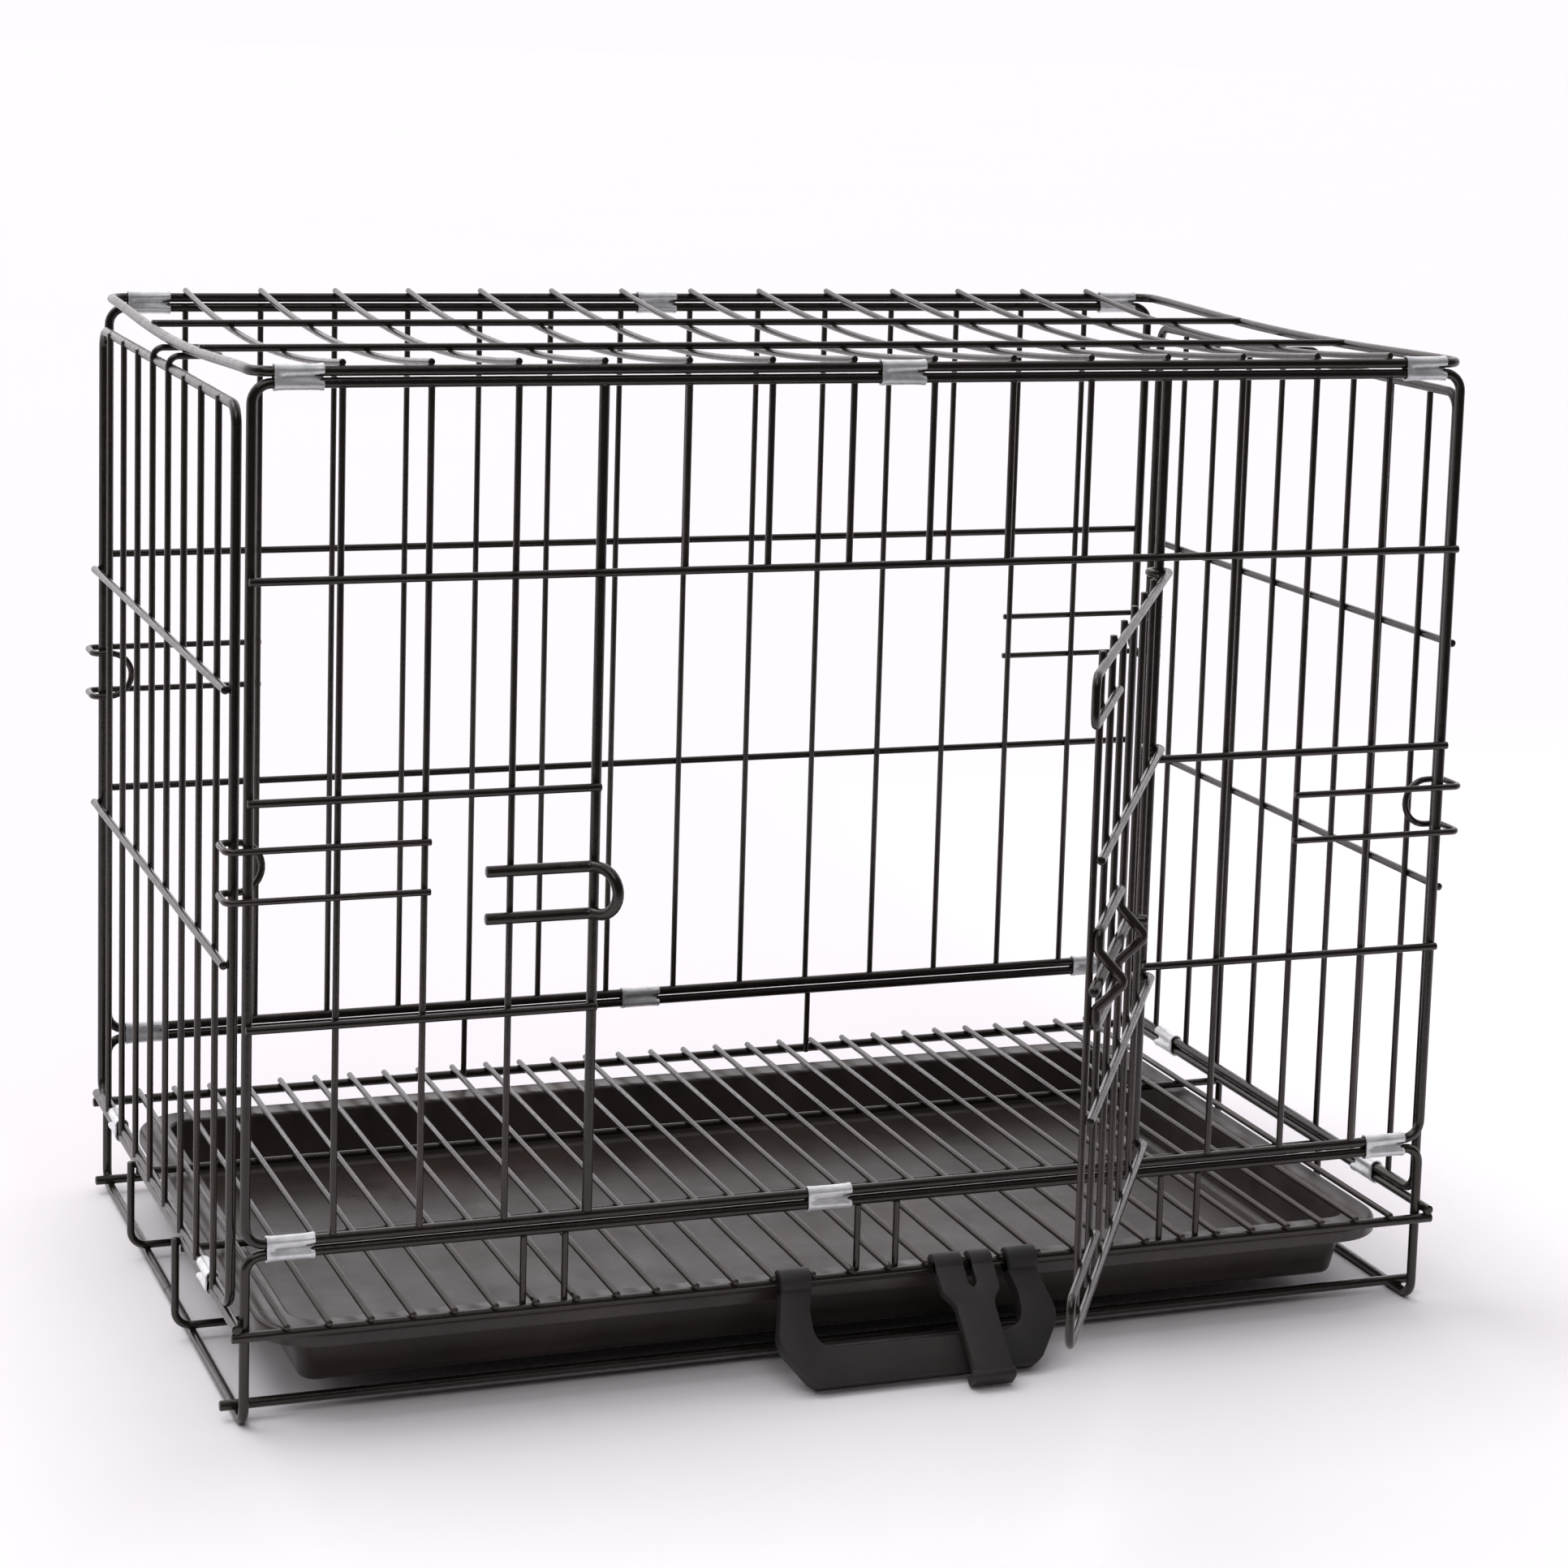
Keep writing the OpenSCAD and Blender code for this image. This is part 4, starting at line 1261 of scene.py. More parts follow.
@dataclass
class Door(Assembly):
    """The front door, drawn closed and turned open about its hinge post."""

    opened: float = 58.5
    ring_clear: float = 0.5
    ring_turn: float = 270.0
    ring_step: float = 15.0
    stop_reach: float = 5.0
    stop_height: float = 21.0
    stop_bend: float = 6.0
    top_drop: float = 8.0
    low_rise: float = 9.6
    middles: Pair = (294.4, 180.6)
    bar_lip: float = 1.0
    rail_spot: float = 1.5
    guide_d: float = 4.4
    guide_bow: float = 12.0
    guide_span: float = 25.0
    guide_height: float = 42.0
    guide_bend: float = 3.4
    guide_bays: int = 2
    guide_spot: float = 1.4
    bolt_d: float = 4.8
    bolt_reach: float = 261.0
    bolt_len: float = 130.0
    bolt_room: float = 0.4
    bolt_bend: float = 5.0
    pull: float = 9.0

    def __post_init__(self) -> None:
        """Works out the door's place and the planes of its wires."""
        c = self.crate
        self.hinge_x = c.bay(c.hinge_bay)
        turn = Matrix.Rotation(math.radians(self.opened), 4, "Z")
        self.place = Matrix.Translation((self.hinge_x, -c.half_w, 0)) @ turn
        self.ring_r = c.frame_d / 2 + self.ring_clear + c.rail_d / 2
        self.bar_y = -(self.ring_r - c.on(c.rail_d, c.bar_d))
        self.top_z = c.braces[0] - self.top_drop
        self.low_z = c.panel_low_z + self.low_rise
        self.uprights = [c.bay(bay) - self.hinge_x for bay in range(c.latch_bay + 1, c.hinge_bay)]
        self.last = self.uprights[0]

    def ring(self, wires: Wires, z: float) -> WirePen:
        """A wire that starts as a ring round the hinge post and leaves it along the door.

        Args:
            wires: mesh that it is added to.
            z: its height.

        Returns:
            The wire, to be drawn on.
        """
        pen = wires.pen((-self.ring_r, 0, z), (-self.ring_r, 1, z), self.crate.rail_d)
        pen.arc(Vector((0, 0, z)), Vector((0, 0, -1)), math.radians(self.ring_turn), self.ring_step)
        return pen

    def rail_welds(self, wires: Wires, z: float, uprights: Iterable[float]) -> None:
        """Spots that weld a rail to some of the door's bars."""
        for x in uprights:
            wires.weld((x, self.bar_y - self.rail_spot, z), Spot.DOOR_RAIL)

    def stop_rail(self, node: str, z: float, back_z: float) -> None:
        """A rail turned back past the latch side as a stop loop.

        Args:
            node: solid that it replaces.
            z: its height.
            back_z: height of its turned-back end.
        """
        c = self.crate
        stop_x = c.bay(c.latch_bay) - c.frame_d / 2 - self.stop_reach + c.rail_d / 2 - self.hinge_x
        wires = Wires(place=self.place)
        pen = self.ring(wires, z)
        pen.through([(stop_x, -self.ring_r, z), (stop_x, -self.ring_r, back_z),
                     (self.last + c.pitch_x + c.overhang, -self.ring_r, back_z)], self.stop_bend)
        wires.close(pen, c.rail_d)
        self.rail_welds(wires, z, self.uprights)
        self.rail_welds(wires, back_z, self.uprights[:2])
        self.piece(wires, node + "_wire", node, "door")

    def middle_rails(self) -> None:
        """The two rails between them."""
        c = self.crate
        wires = Wires(place=self.place)
        for z in self.middles:
            pen = self.ring(wires, z)
            pen.through([(self.last - c.overhang, -self.ring_r, z)], 0.0)
            wires.close(pen, c.rail_d)
            self.rail_welds(wires, z, self.uprights)
        self.piece(wires, "door_rail_wires_middle", "door_rails_middle", "door")

    def bars(self) -> None:
        """The door's upright bars."""
        c = self.crate
        wires = Wires(THIN_SIDES, self.place)
        lip = c.rail_d / 2 + self.bar_lip
        for x in self.uprights:
            wires.straight((x, self.bar_y, self.low_z - lip), (x, self.bar_y, self.top_z + lip), c.bar_d)
        self.piece(wires, "door_bar_wires", "door_bars", "door")

    def guide(self) -> None:
        """The closed loop whose two uprights bow out round the bolt."""
        c = self.crate
        x0, x1 = self.last, self.last + self.guide_bays * c.pitch_x
        z0, z1 = c.bolt_z - self.guide_height / 2, c.bolt_z + self.guide_height / 2
        y0 = self.bar_y - c.on(c.bar_d, self.guide_d)
        y1 = y0 - self.guide_bow
        mid, bow = (x0 + x1) / 2, self.guide_span / 2
        rise = [(y0, z0), (y0, c.bolt_z - bow), (y1, c.bolt_z), (y0, c.bolt_z + bow), (y0, z1)]
        loop = [(x1, y, z) for y, z in rise] + [(x0, y, z) for y, z in reversed(rise)]
        wires = Wires(THICK_SIDES, self.place)
        wires.bent([(mid, y0, z0), *loop, (mid, y0, z0)], self.guide_d, self.guide_bend, CutEnd.PLAIN)
        for x in (x0, mid, x1):
            for z in (z0, z1):
                wires.weld((x, self.bar_y - self.guide_spot, z), Spot.GUIDE_BAR)
        fit(wires.finish("latch_guide_wire"), "door", "latch_guide", self.finishes.bars)

    def bolt(self) -> None:
        """The slide bolt, with a tapered tip and a tail bent out as its finger pull."""
        c = self.crate
        y = self.bar_y - (c.bar_d / 2 + self.bolt_room + self.bolt_d / 2)
        tip, tail = -self.bolt_reach, -self.bolt_reach + self.bolt_len
        wires = Wires(CLOSE_SIDES, self.place)
        wires.bent([(tip, y, c.bolt_z), (tail, y, c.bolt_z), (tail, y - self.pull, c.bolt_z)],
                   self.bolt_d, self.bolt_bend, CutEnd.ROUNDED)
        self.piece(wires, "slide_bolt_rod", "slide_bolt", "bolt")

    def build(self) -> None:
        """Builds and dresses every piece of the door."""
        self.stop_rail("door_rail_top", self.top_z, self.top_z - self.stop_height)
        self.stop_rail("door_rail_bottom", self.low_z, self.low_z + self.stop_height)
        self.middle_rails()
        self.bars()
        self.guide()
        self.bolt()


# ---------------- hinge clips


@dataclass
class HingeClips(Assembly):
    """Bent sheet sleeves that pair the panels' wires.

    Each of the stations is a place along a sleeve, a size and a share of the pinch. The middles are the X of
    the seams' middle sleeves: the roof's front and back, then the base's.
    """

    length: float = 22.0
    wall: float = 0.7
    radius: float = 3.55
    facets: int = 24
    waist_cuts: int = 3
    pinch: float = 1.9
    pinch_half: float = 1.3
    end_room: float = 0.5
    middles: tuple[float, ...] = (4.0, 0.0, -20.0, 0.0)
    side_pitches: int = 3
    stations: tuple[Triple, ...] = (
        (-0.5, 1.0, 0.0), (-0.46, 1.0, 0.1), (-0.40, 0.965, 0.45), (-0.25, 0.95, 0.9), (0.0, 0.95, 1.0),
        (0.25, 0.95, 0.9), (0.40, 0.965, 0.45), (0.46, 1.0, 0.1), (0.5, 1.0, 0.0))

    def sleeve(self, bm: BMesh, at: Triple, along_y: bool) -> None:
        """One sleeve, flared at both ends and pinched between its two wires.

        Args:
            bm: mesh that it is added to, in millimetres.
            at: centre of its lower wire, in the middle of its length.
            along_y: whether it lies along Y instead of X.
        """
        step = self.crate.pair_step
        shell = bmesh.new()
        rim = bmesh.ops.create_circle(shell, cap_ends=False, segments=self.facets, radius=self.radius,
                                      matrix=Matrix.Rotation(QUARTER, 4, "Y"))["verts"]
        bmesh.ops.translate(shell, verts=[v for v in rim if v.co.z > TINY], vec=(0, 0, step))
        waist = [e for e in shell.edges if e.calc_length() > step]
        bmesh.ops.subdivide_edges(shell, edges=waist, cuts=self.waist_cuts)
        edges = list(shell.edges)
        bmesh.ops.translate(shell, verts=shell.verts, vec=(self.stations[0][0] * self.length, 0, 0))
        for before, (place, size, squeeze) in zip(self.stations, self.stations[1:]):
            grown = bmesh.ops.extrude_edge_only(shell, edges=edges)["geom"]
            verts = only(grown, BMVert)
            bmesh.ops.translate(shell, verts=verts, vec=((place - before[0]) * self.length, 0, 0))
            bmesh.ops.scale(shell, verts=verts, vec=(1, size / before[1], size / before[1]),
                            space=Matrix.Translation((0, 0, -step / 2)))
            for vert in verts:
                between = math.exp(-((vert.co.z - step / 2) / self.pinch_half) ** 2)
                vert.co.y -= math.copysign(self.pinch * between * (squeeze - before[2]), vert.co.y)
            edges = only(grown, BMEdge)
        bmesh.ops.recalc_face_normals(shell, faces=shell.faces)
        bmesh.ops.solidify(shell, geom=shell.faces, thickness=self.wall)
        turn = Matrix.Rotation(QUARTER, 4, "Z") if along_y else Matrix.Identity(4)
        bmesh.ops.transform(shell, matrix=Matrix.Translation(at) @ turn, verts=shell.verts)
        merge(bm, shell)

    def group(self, node: str, places: Iterable[Triple], along_y: bool = False) -> None:
        """The sleeves of one seam.

        Args:
            node: solid that they replace.
            places: centres of their lower wires.
            along_y: whether they lie along Y.
        """
        bm = bmesh.new()
        for at in places:
            self.sleeve(bm, at, along_y)
        fit(mesh_object(bm, node + "_sheet", crease=50.0), "cage", node, self.finishes.zinc)

    def build(self) -> None:
        """Builds and dresses every seam's sleeves."""
        c = self.crate
        x = c.half_len - c.frame_bend - self.length / 2 - self.end_room
        seams = [(seam, face, z) for seam, z in (("roof", c.top_z), ("base", c.base_top_z)) for face in Face]
        for (seam, face, z), middle in zip(seams, self.middles):
            y = face.value * c.half_w
            self.group(f"{seam}_clips_{face.label}", [(place, y, z) for place in (-x, middle, x)])
        for side in Side:
            at = [(side.value * c.end_x, t * self.side_pitches * c.pitch_y, c.side_rail_z) for t in BOTH]
            self.group(f"side_clips_{side.label}", at, along_y=True)


# ---------------- moulded pieces


def rounded(corners: Sequence[Triple], closed: bool = True, step: float = 15.0) -> list[Vector]:
    """An outline with rounded corners.

    Args:
        corners: X, Y and radius of each corner.
        closed: whether the last corner leads back to the first.
        step: largest turn between two points of a rounding, in degrees.

    Returns:
        The outline's points, in the XY plane.
    """
    spots = [Vector((x, y, 0)) for x, y, _ in corners]
    points: list[Vector] = []
    for number, (here, corner) in enumerate(zip(spots, corners)):
        radius = corner[2]
        if not radius or (not closed and number in (0, len(spots) - 1)):
            points.append(here)
            continue
        ahead = (here - spots[number - 1]).normalized()
        after = (spots[(number + 1) % len(spots)] - here).normalized()
        turn = ahead.angle(after)
        axis = ahead.cross(after).normalized()
        start = here - ahead * radius * math.tan(turn / 2)
        centre = start + axis.cross(ahead) * radius
        steps = max(2, math.ceil(math.degrees(turn) / step))
        points += [centre + Matrix.Rotation(turn * k / steps, 3, axis) @ (start - centre)
                   for k in range(steps + 1)]
    return points


def drawn(bm: BMesh, points: Sequence[Vector], closed: bool) -> list[BMEdge]:
    """Draws a line through points.

    Args:
        bm: mesh that it is added to.
        points: the points, in order.
        closed: whether the line ends where it starts.

    Returns:
        Its edges.
    """
    verts = [bmesh.ops.create_vert(bm, co=point)["vert"][0] for point in points]
    pairs = zip(verts, verts[1:] + verts[:1] if closed else verts[1:])
    return [bmesh.ops.contextual_create(bm, geom=pair)["edges"][0] for pair in pairs]


def thicken(part: BMesh, faces: list[BMFace], vec: Triple) -> None:
    """Draws flat faces out into a closed solid.

    Args:
        part: mesh that they belong to.
        faces: the faces.
        vec: how far they are drawn.
    """
    grown = bmesh.ops.extrude_face_region(part, geom=faces)["geom"]
    bmesh.ops.translate(part, verts=only(grown, BMVert), vec=vec)
    bmesh.ops.recalc_face_normals(part, faces=part.faces)


def soften(part: BMesh, edges: list[BMEdge], radius: float) -> None:
    """Rounds edges over."""
    bmesh.ops.bevel(part, geom=edges, offset=radius, offset_type="OFFSET", segments=3, profile=0.5,
                    affect="EDGES", material=-1, clamp_overlap=True)


UPRIGHT = Matrix.Rotation(QUARTER, 4, "X")
SIDEWAYS = UPRIGHT @ Matrix.Rotation(QUARTER, 4, "Y")


class Moulding:
    """Plates and knuckles gathered in one mesh that hangs on the front floor rail, in millimetres."""

    bore_room: float = 0.3
    knuckle_radius: float = 6.5
    knuckle_off: Pair = (-1.4, -0.25)
    knuckle_edge: float = 0.8
    knuckle_facets: int = 36

    def __init__(self, crate: Crate, tilt: float, edge: float) -> None:
        """Starts an empty mesh, drawn hanging straight down from the rail and then tilted.

        Args:
            crate: the crate's shared sizes.
            tilt: tilt from hanging straight down, in degrees.
            edge: radius of the plates' edges.
        """
        self.bm = bmesh.new()
        rail = Matrix.Translation((0, -crate.floor_rail_y, crate.floor_rail_z))
        self.place = rail @ Matrix.Rotation(math.radians(-tilt), 4, "X")
        self.bore = crate.frame_d / 2 + self.bore_room
        self.edge = edge

    def plate(self, outline: Sequence[Triple], thickness: float, at: Triple, turn: Matrix) -> None:
        """A plate of even thickness with rounded edges.

        Args:
            outline: X, Y and radius of its corners.
            thickness: its thickness.
            at: where the outline's origin is put.
            turn: how the plate is turned.
        """
        part = bmesh.new()
        face = bmesh.ops.contextual_create(part, geom=drawn(part, rounded(outline), True))["faces"][0]
        thicken(part, [face], (0, 0, thickness))
        soften(part, [e for e in part.edges if abs(e.verts[0].co.z - e.verts[1].co.z) < TINY], self.edge)
        bmesh.ops.transform(part, matrix=Matrix.Translation(at) @ turn, verts=part.verts)
        merge(self.bm, part)

    def knuckle(self, start: float, stop: float) -> None:
        """An eccentric eye round the rail, thick at the front.

        Args:
            start: X of its left side.
            stop: X of its right side.
        """
        part = bmesh.new()
        turn = Matrix.Rotation(QUARTER, 4, "Y")
        loops: list[BMEdge] = []
        for size, at in ((self.knuckle_radius, self.knuckle_off), (self.bore, (0.0, 0.0))):
            place = Matrix.Translation((start, *at)) @ turn
            loops += edges_of(bmesh.ops.create_circle(part, cap_ends=False, segments=self.knuckle_facets,
                                                      radius=size, matrix=place)["verts"])
        thicken(part, bmesh.ops.bridge_loops(part, edges=loops)["faces"], (stop - start, 0, 0))
        centre = Vector((0, *self.knuckle_off))
        rims = [e for e in part.edges if abs(e.verts[0].co.x - e.verts[1].co.x) < TINY
                and all(abs((v.co - centre).yz.length - self.knuckle_radius) < 10 * TINY for v in e.verts)]
        soften(part, rims, self.knuckle_edge)
        merge(self.bm, part)

    def finish(self, name: str) -> Object:
        """Tilts the mesh into place and turns it into an object, in metres."""
        bmesh.ops.transform(self.bm, matrix=self.place, verts=self.bm.verts)
        return mesh_object(self.bm, name, crease=35.0)


def both_sides(half: Sequence[Triple]) -> list[Triple]:
    """A right half's corners, from top to bottom, with their mirror images from bottom to top."""
    return [*half, *((-x, y, r) for x, y, r in reversed(half))]


@dataclass
class CarryHandle(Assembly):
    """The flat moulded handle: two bowed arms on knuckles and a grip bar between them."""

    tilt: float = 37.0
    length: float = 52.5
    thick: float = 8.0
    grip: float = 18.0
    middle: float = 19.448
    spread: float = 58.34
    knuckle: float = 7.6
    bow: float = 13.0
    bow_share: float = 0.53
    neck_share: float = 0.6
    step: float = 6.0
    inset: float = 5.0
    edge: float = 1.4

    def outline(self) -> list[Triple]:
        """The handle's flat shape.

        Returns:
            X, Y and radius of its corners, from the right arm's top round the outside and back inside.
        """
        c, k, waist = self.spread, self.knuckle, self.bow_share * self.length
        neck, grip, bow = self.neck_share * waist, self.length - self.grip, c + self.bow
        outer = [(c + k, 0.0, 0.0), (c + k, -self.step, 5.0), (bow - 3, -neck, 12.0), (bow, -waist, 12.0),
                 (bow - 2, -grip, 12.0), (c + 1, 3 - self.length, 5.0), (c - 3, -self.length, 3.0)]
        inner = [(c - k - self.inset, -grip, 3.0), (c - k, 3 - grip, 3.0), (c - self.inset, -waist, 12.0),
                 (c - self.inset, -neck, 8.0), (c - k, -self.step, 4.0), (c - k, 0.0, 0.0)]
        return both_sides(outer) + [(-x, y, r) for x, y, r in reversed(inner)] + inner

    def build(self) -> None:
        """Builds and dresses the handle."""
        mould = Moulding(self.crate, self.tilt, self.edge)
        mould.plate(self.outline(), self.thick, (self.middle, self.thick / 2, 0), UPRIGHT)
        for x in (self.middle - self.spread, self.middle + self.spread):
            mould.knuckle(x - self.knuckle, x + self.knuckle)
        fit(mould.finish("carry_handle_moulding"), "carry_handle", "carry_handle", self.finishes.handle)


@dataclass
class FoldLock(Assembly):
    """The fold lock: two fingers round the rail, a strap, and a curl at its end."""

    tilt: float = 47.0
    length: float = 63.0
    thick: float = 5.0
    start: float = 32.0
    stop: float = 62.0
    slot_x: float = 48.62
    slot: float = 2.1
    finger: float = 17.0
    taper: float = 6.0
    strap: float = 10.0
    back: float = -2.0
    curl: float = 5.5
    curl_half: float = 11.0
    curl_back: float = 3.0
    edge: float = 0.9

    def build(self) -> None:
        """Builds and dresses the lock."""
        mid, half = (self.start + self.stop) / 2, (self.stop - self.start) / 2
        notch, low = self.slot_x - mid, self.length - self.curl
        side = [(half, 0.0, 0.0), (half, -self.finger, 5.0), (self.strap, -self.finger - self.taper, 8.0),
                (self.strap, -low - 2, 0.0)]
        slot = [(notch - self.slot, 0.0, 0.0), (notch - self.slot, 4 - self.finger, 3.0),
                (notch, 1 - self.finger, 1.0), (notch + self.slot, 4 - self.finger, 3.0),
                (notch + self.slot, 0.0, 0.0)]
        front = self.back - self.thick
        curl = [(front, -low, 1.0), (self.curl_back, -low, 2.0), (self.curl_back, -self.length, 2.5),
                (front, -self.length, 3.0)]
        mould = Moulding(self.crate, self.tilt, self.edge)
        mould.plate(both_sides(side) + slot, self.thick, (mid, self.back, 0), UPRIGHT)
        mould.plate(curl, 2 * self.curl_half, (mid - self.curl_half, 0, 0), SIDEWAYS)
        mould.knuckle(self.start, self.slot_x - self.slot)
        mould.knuckle(self.slot_x + self.slot, self.stop)
        fit(mould.finish("fold_lock_moulding"), "fold_lock", "fold_lock_hook", self.finishes.handle)


@dataclass
class Tray(Assembly):
    """The slide-out tray: sloping walls, a broad flange and a turned-down lip."""

    end_room: float = 10.0
    side_room: float = 7.0
    height: float = 32.4
    wall: float = 1.8
    corner: float = 30.0
    flange: float = 15.0
    lip: float = 8.0
    slope: float = 22.0
    front_gap: float = 6.0
    rail_room: float = 0.3
    core: float = 0.5
    corner_step: float = 7.5

    def section(self) -> list[Vector]:
        """Half of the tray cut across.

        Returns:
            Its points: distance outwards from a corner's centre, and height.
        """
        heel, top, h, t = self.corner - self.slope, self.corner - self.flange, self.height, self.wall
        skin = self.corner - t
        return rounded([
            (self.core, 0.0, 0.0), (heel, 0.0, 4.0), (top, h - t, 2.5), (skin, h - t, 1.2),
            (skin, h - self.lip, 0.3), (self.corner, h - self.lip, 0.7), (self.corner, h, 3.0),
            (top - t, h, 2.0), (heel - t, t, 4.0), (self.core, t, 0.0),
        ], closed=False)

    def build(self) -> None:
        """Builds and dresses the tray."""
        c = self.crate
        x, y = c.half_len - self.end_room - self.corner, c.half_w - self.side_room - self.corner
        bm = bmesh.new()
        rim = drawn(bm, [Vector((0, -y - p.x, p.y)) for p in self.section()], False)
        sweep = Sweep(bm, Vector((0, -y, 0)), Vector((1, 0, 0)), rim)
        sweep.line(x)
        for sx, sy, run in ((1, -1, 2 * y), (1, 1, 2 * x), (-1, 1, 2 * y), (-1, -1, x)):
            sweep.arc(Vector((sx * x, sy * y, 0)), Vector((0, 0, 1)), QUARTER, self.corner_step)
            sweep.line(run)
        bmesh.ops.remove_doubles(bm, verts=bm.verts, dist=0.01)
        bmesh.ops.holes_fill(bm, edges=[e for e in bm.edges if e.is_boundary], sides=0)
        bmesh.ops.recalc_face_normals(bm, faces=bm.faces)
        low = c.frame_d / 2 + c.on(c.frame_d, c.frame_d) + c.frame_d / 2 + self.rail_room
        front = -c.floor_rail_y + self.front_gap
        bmesh.ops.translate(bm, verts=bm.verts, vec=(0, front + c.half_w - self.side_room, low))
        fit(mesh_object(bm, "tray_moulding", crease=50.0), "tray", "tray", self.finishes.tray)


# ---------------- studio


@dataclass(frozen=True)
class Lamp:
    """A far lamp: its strength, and its spread and its turn about X, Y and Z in degrees."""

    name: str
    strength: float
    spread: float
    turn: Triple


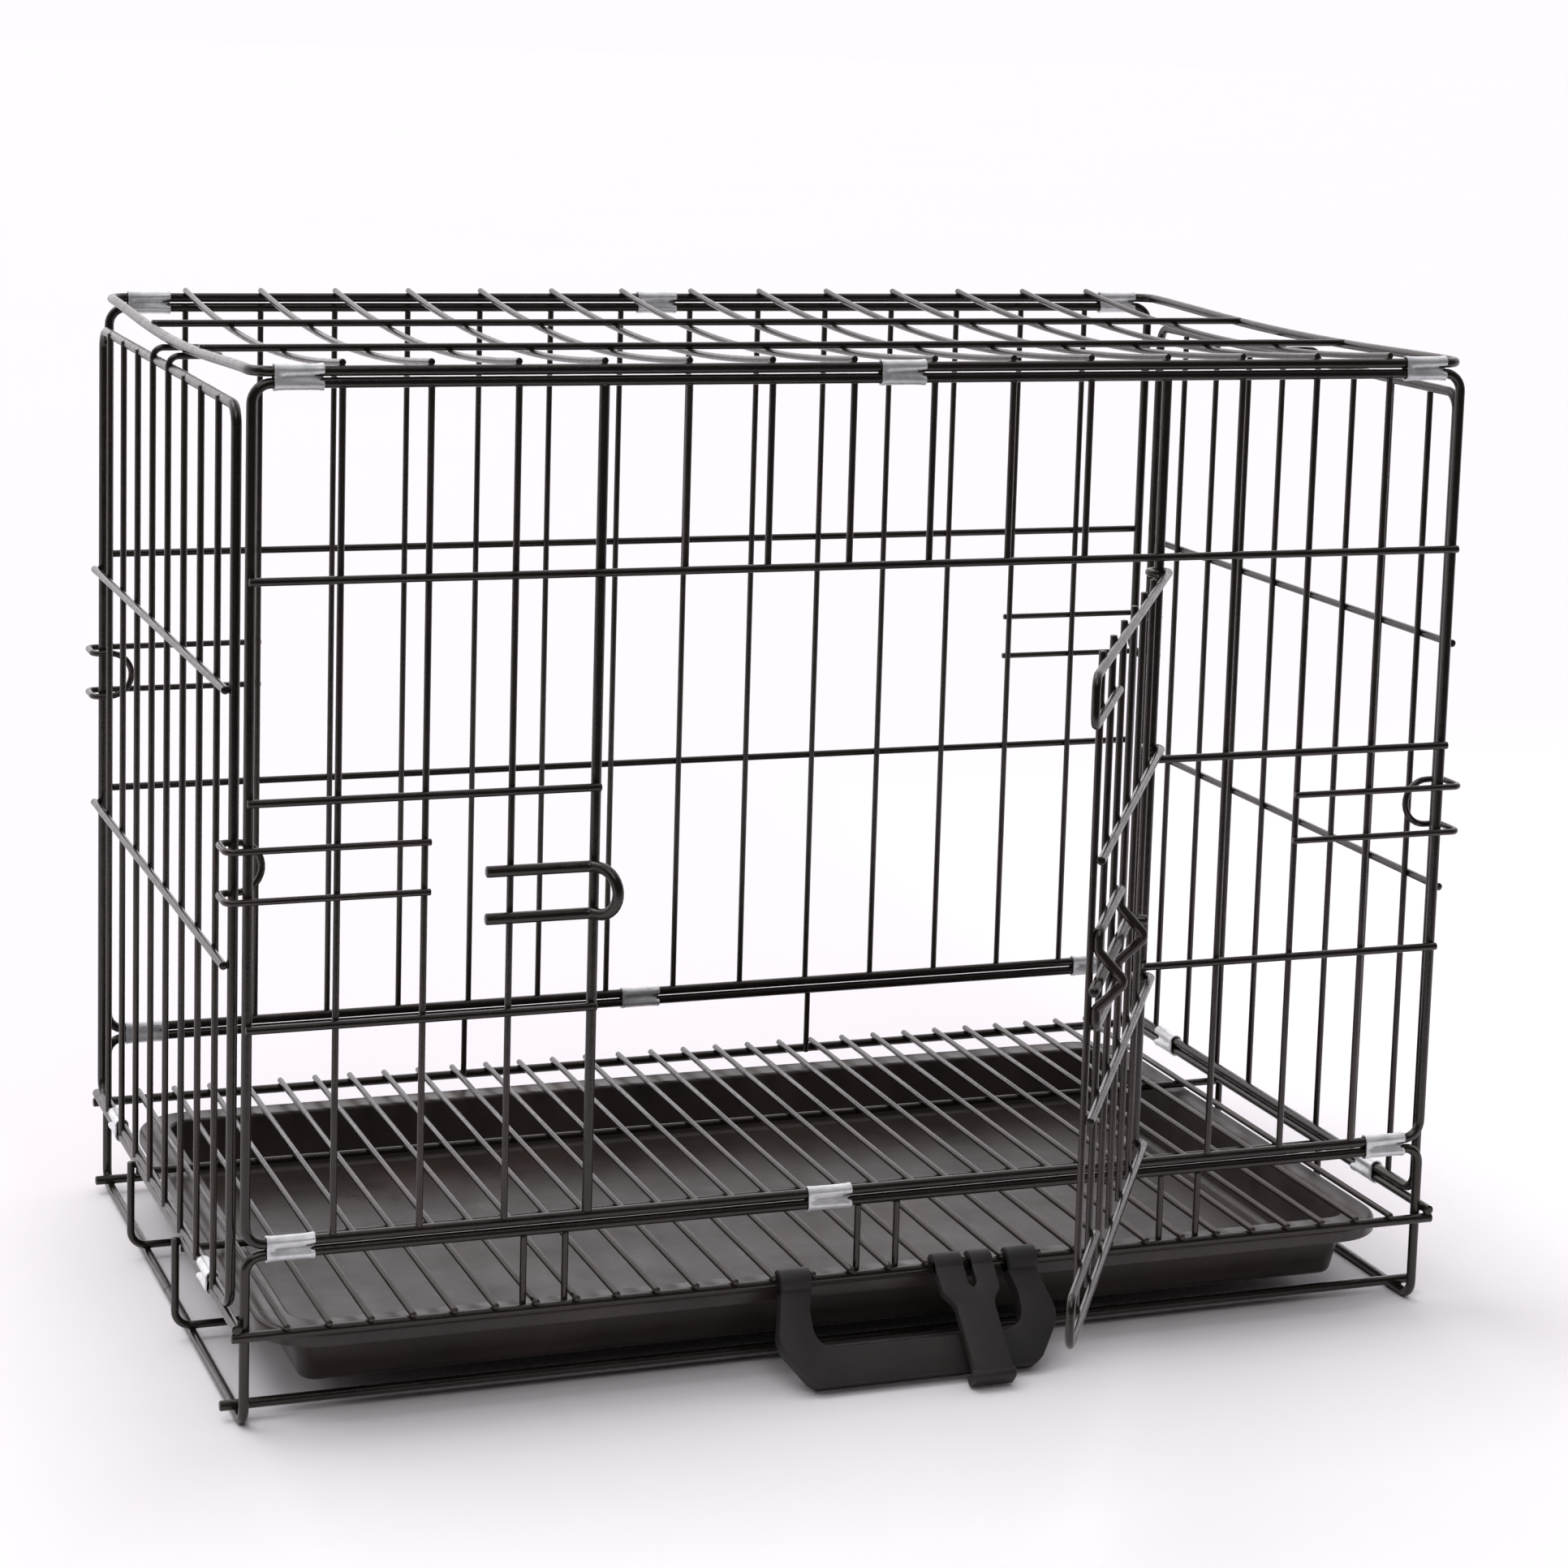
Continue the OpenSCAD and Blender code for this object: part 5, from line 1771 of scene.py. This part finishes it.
@dataclass
class Studio:
    """Pale floor, soft light and the camera."""

    size: float = 30000.0
    pale: Colour = (0.985, 0.955, 0.985)
    mottle: Cloud = Cloud(900.0, 2.0, 0.5)
    mottle_share: float = 0.992
    # colour of the painted shade that the floor shows to every ray but the camera's in front of the crate
    dim: Colour = (0.05, 0.048, 0.05)
    dim_span: Pair = (-1.0, -0.6)
    # strength of the floor's painted glow for the camera, then where it rises in front and at the sides and
    # where it fades far off
    lift: float = 0.12
    lift_front: Pair = (-0.21, -0.38)
    lift_side: Pair = (0.33, 0.46)
    lift_far: Pair = (0.5, 1.2)
    backdrop: Colour = (1.0, 0.97, 1.0)
    sky: Pair = (0.06, 1.5)
    sky_up: Triple = (0.0, 0.86, 0.40)
    sky_span: Pair = (-0.2, 0.9)
    key: Lamp = Lamp("key", 0.6, 35.0, (-18, -20, 0))
    fill: Lamp = Lamp("fill", 0.55, 40.0, (34, -12, 0))
    eye: Triple = (-634.3, -1776.0, 655.3)
    azimuth: float = -0.3748
    elevation: float = 0.1458
    roll: float = 0.03275
    lens: float = 85.5
    sensor: float = 36.0
    shift: Pair = (-0.059, -0.160)

    def floor(self) -> None:
        """A wide plain floor, pale to the camera, with painted shade and painted light.

        In front of the crate it is near black to every ray but the camera's, a painted shade that the crate
        reflects.
        Beyond the crate's front and sides it glows a little for the camera alone, a painted light that
        whitens it there, and the shadow next to the crate stays.
        """
        bm = bmesh.new()
        bmesh.ops.create_grid(bm, x_segments=1, y_segments=1, size=self.size)
        obj = mesh_object(bm, "studio_floor")
        graph = Graph.material("studio_paper")
        worn = tuple(v * self.mottle_share for v in self.pale)
        paper = graph.blend(graph.drift(self.mottle), self.pale, worn)
        place = graph.add("SeparateXYZ", {"Vector": graph.coord}).outputs
        seen = graph.add("LightPath").outputs["Is Camera Ray"]
        wide = graph.add("Math", {0: place["X"]}, operation="ABSOLUTE").outputs["Value"]
        # painted light: the camera-only glow, none next to the crate and full past its front and sides
        front = graph.span(place["Y"], *self.lift_front, 0.0, self.lift)
        side = graph.span(wide, *self.lift_side, 0.0, self.lift)
        lift = graph.add("Math", {0: front, 1: side}, operation="MAXIMUM").outputs["Value"]
        white, black = (1.0, 1.0, 1.0), (0.0, 0.0, 0.0)
        near = graph.blend(graph.span(place["Y"], *self.lift_far), white, black)
        # painted shade: near black to every ray but the camera's in front of the crate
        painted_shade_paper = graph.blend(graph.span(place["Y"], *self.dim_span), self.dim, paper)
        graph.set(Base_Color=graph.blend(seen, painted_shade_paper, paper), Roughness=0.9,
                  Emission_Color=graph.blend(seen, black, near), Emission_Strength=lift)
        graph.owner.cycles.emission_sampling = "NONE"
        obj.data.materials.append(graph.owner)

    def world(self) -> None:
        """A sky that is pale to the camera, and as a light bright above and behind and dim in front."""
        world = bpy.data.worlds.new("studio")
        bpy.context.scene.world = world
        graph = Graph(world, "Background", "Generated")
        height = graph.add("VectorMath", {0: graph.coord, 1: self.sky_up}, operation="DOT_PRODUCT").outputs
        dome = graph.span(height["Value"], *self.sky_span, *self.sky)
        seen = graph.add("LightPath").outputs["Is Camera Ray"]
        level = graph.add("Mix", {"Factor": seen, "A": dome, "B": 1.0}).outputs["Result"]
        graph.set(Color=(*self.backdrop, 1.0), Strength=level)

    def lamps(self) -> None:
        """A broad high key from behind on the left and a weak fill from the front."""
        for lamp in (self.key, self.fill):
            data = bpy.data.lights.new(lamp.name, "SUN")
            data.energy = lamp.strength
            data.angle = math.radians(lamp.spread)
            obj = bpy.data.objects.new(lamp.name, data)
            obj.rotation_euler = [math.radians(v) for v in lamp.turn]
            bpy.context.scene.collection.objects.link(obj)

    def camera(self) -> None:
        """The camera, turned by its azimuth, elevation and roll."""
        az, el = self.azimuth, self.elevation
        ahead = Vector((-math.sin(az) * math.cos(el), math.cos(az) * math.cos(el), -math.sin(el)))
        right = ahead.cross(Vector((0, 0, 1))).normalized()
        up = right.cross(ahead)
        across = math.cos(self.roll) * right + math.sin(self.roll) * up
        above = -math.sin(self.roll) * right + math.cos(self.roll) * up
        turn = Matrix((across, above, -ahead)).transposed().to_4x4()
        data = bpy.data.cameras.new("camera")
        data.lens, data.sensor_width = self.lens, self.sensor
        data.shift_x, data.shift_y = self.shift
        data.clip_end = 100.0
        cam = bpy.data.objects.new("camera", data)
        cam.matrix_world = Matrix.Translation(Vector(self.eye) * MM) @ turn
        bpy.context.scene.collection.objects.link(cam)
        bpy.context.scene.camera = cam

    def build(self) -> None:
        """Builds the floor, the light and the camera."""
        self.floor()
        self.world()
        self.lamps()
        self.camera()
        bpy.context.scene.view_settings.view_transform = "Standard"


def main() -> None:
    """Builds the studio, then the crate's sub-assemblies in order."""
    logging.basicConfig(level=logging.INFO, format="%(message)s")
    crate, finishes = Crate(), Finishes.mixed()
    Studio().build()
    Base(crate, finishes).build()
    FrontPanel(crate, finishes, Face.FRONT).build()
    BackPanel(crate, finishes, Face.BACK).build()
    CornerHooks(crate, finishes, Face.FRONT).build()
    CornerHooks(crate, finishes, Face.BACK, height=272.0).build()
    Roof(crate, finishes).build()
    for side in Side:
        EndPanel(crate, finishes, side).build()
    for kind in (Door, HingeClips, Tray, CarryHandle, FoldLock):
        kind(crate, finishes).build()


if __name__ == "__main__":
    main()
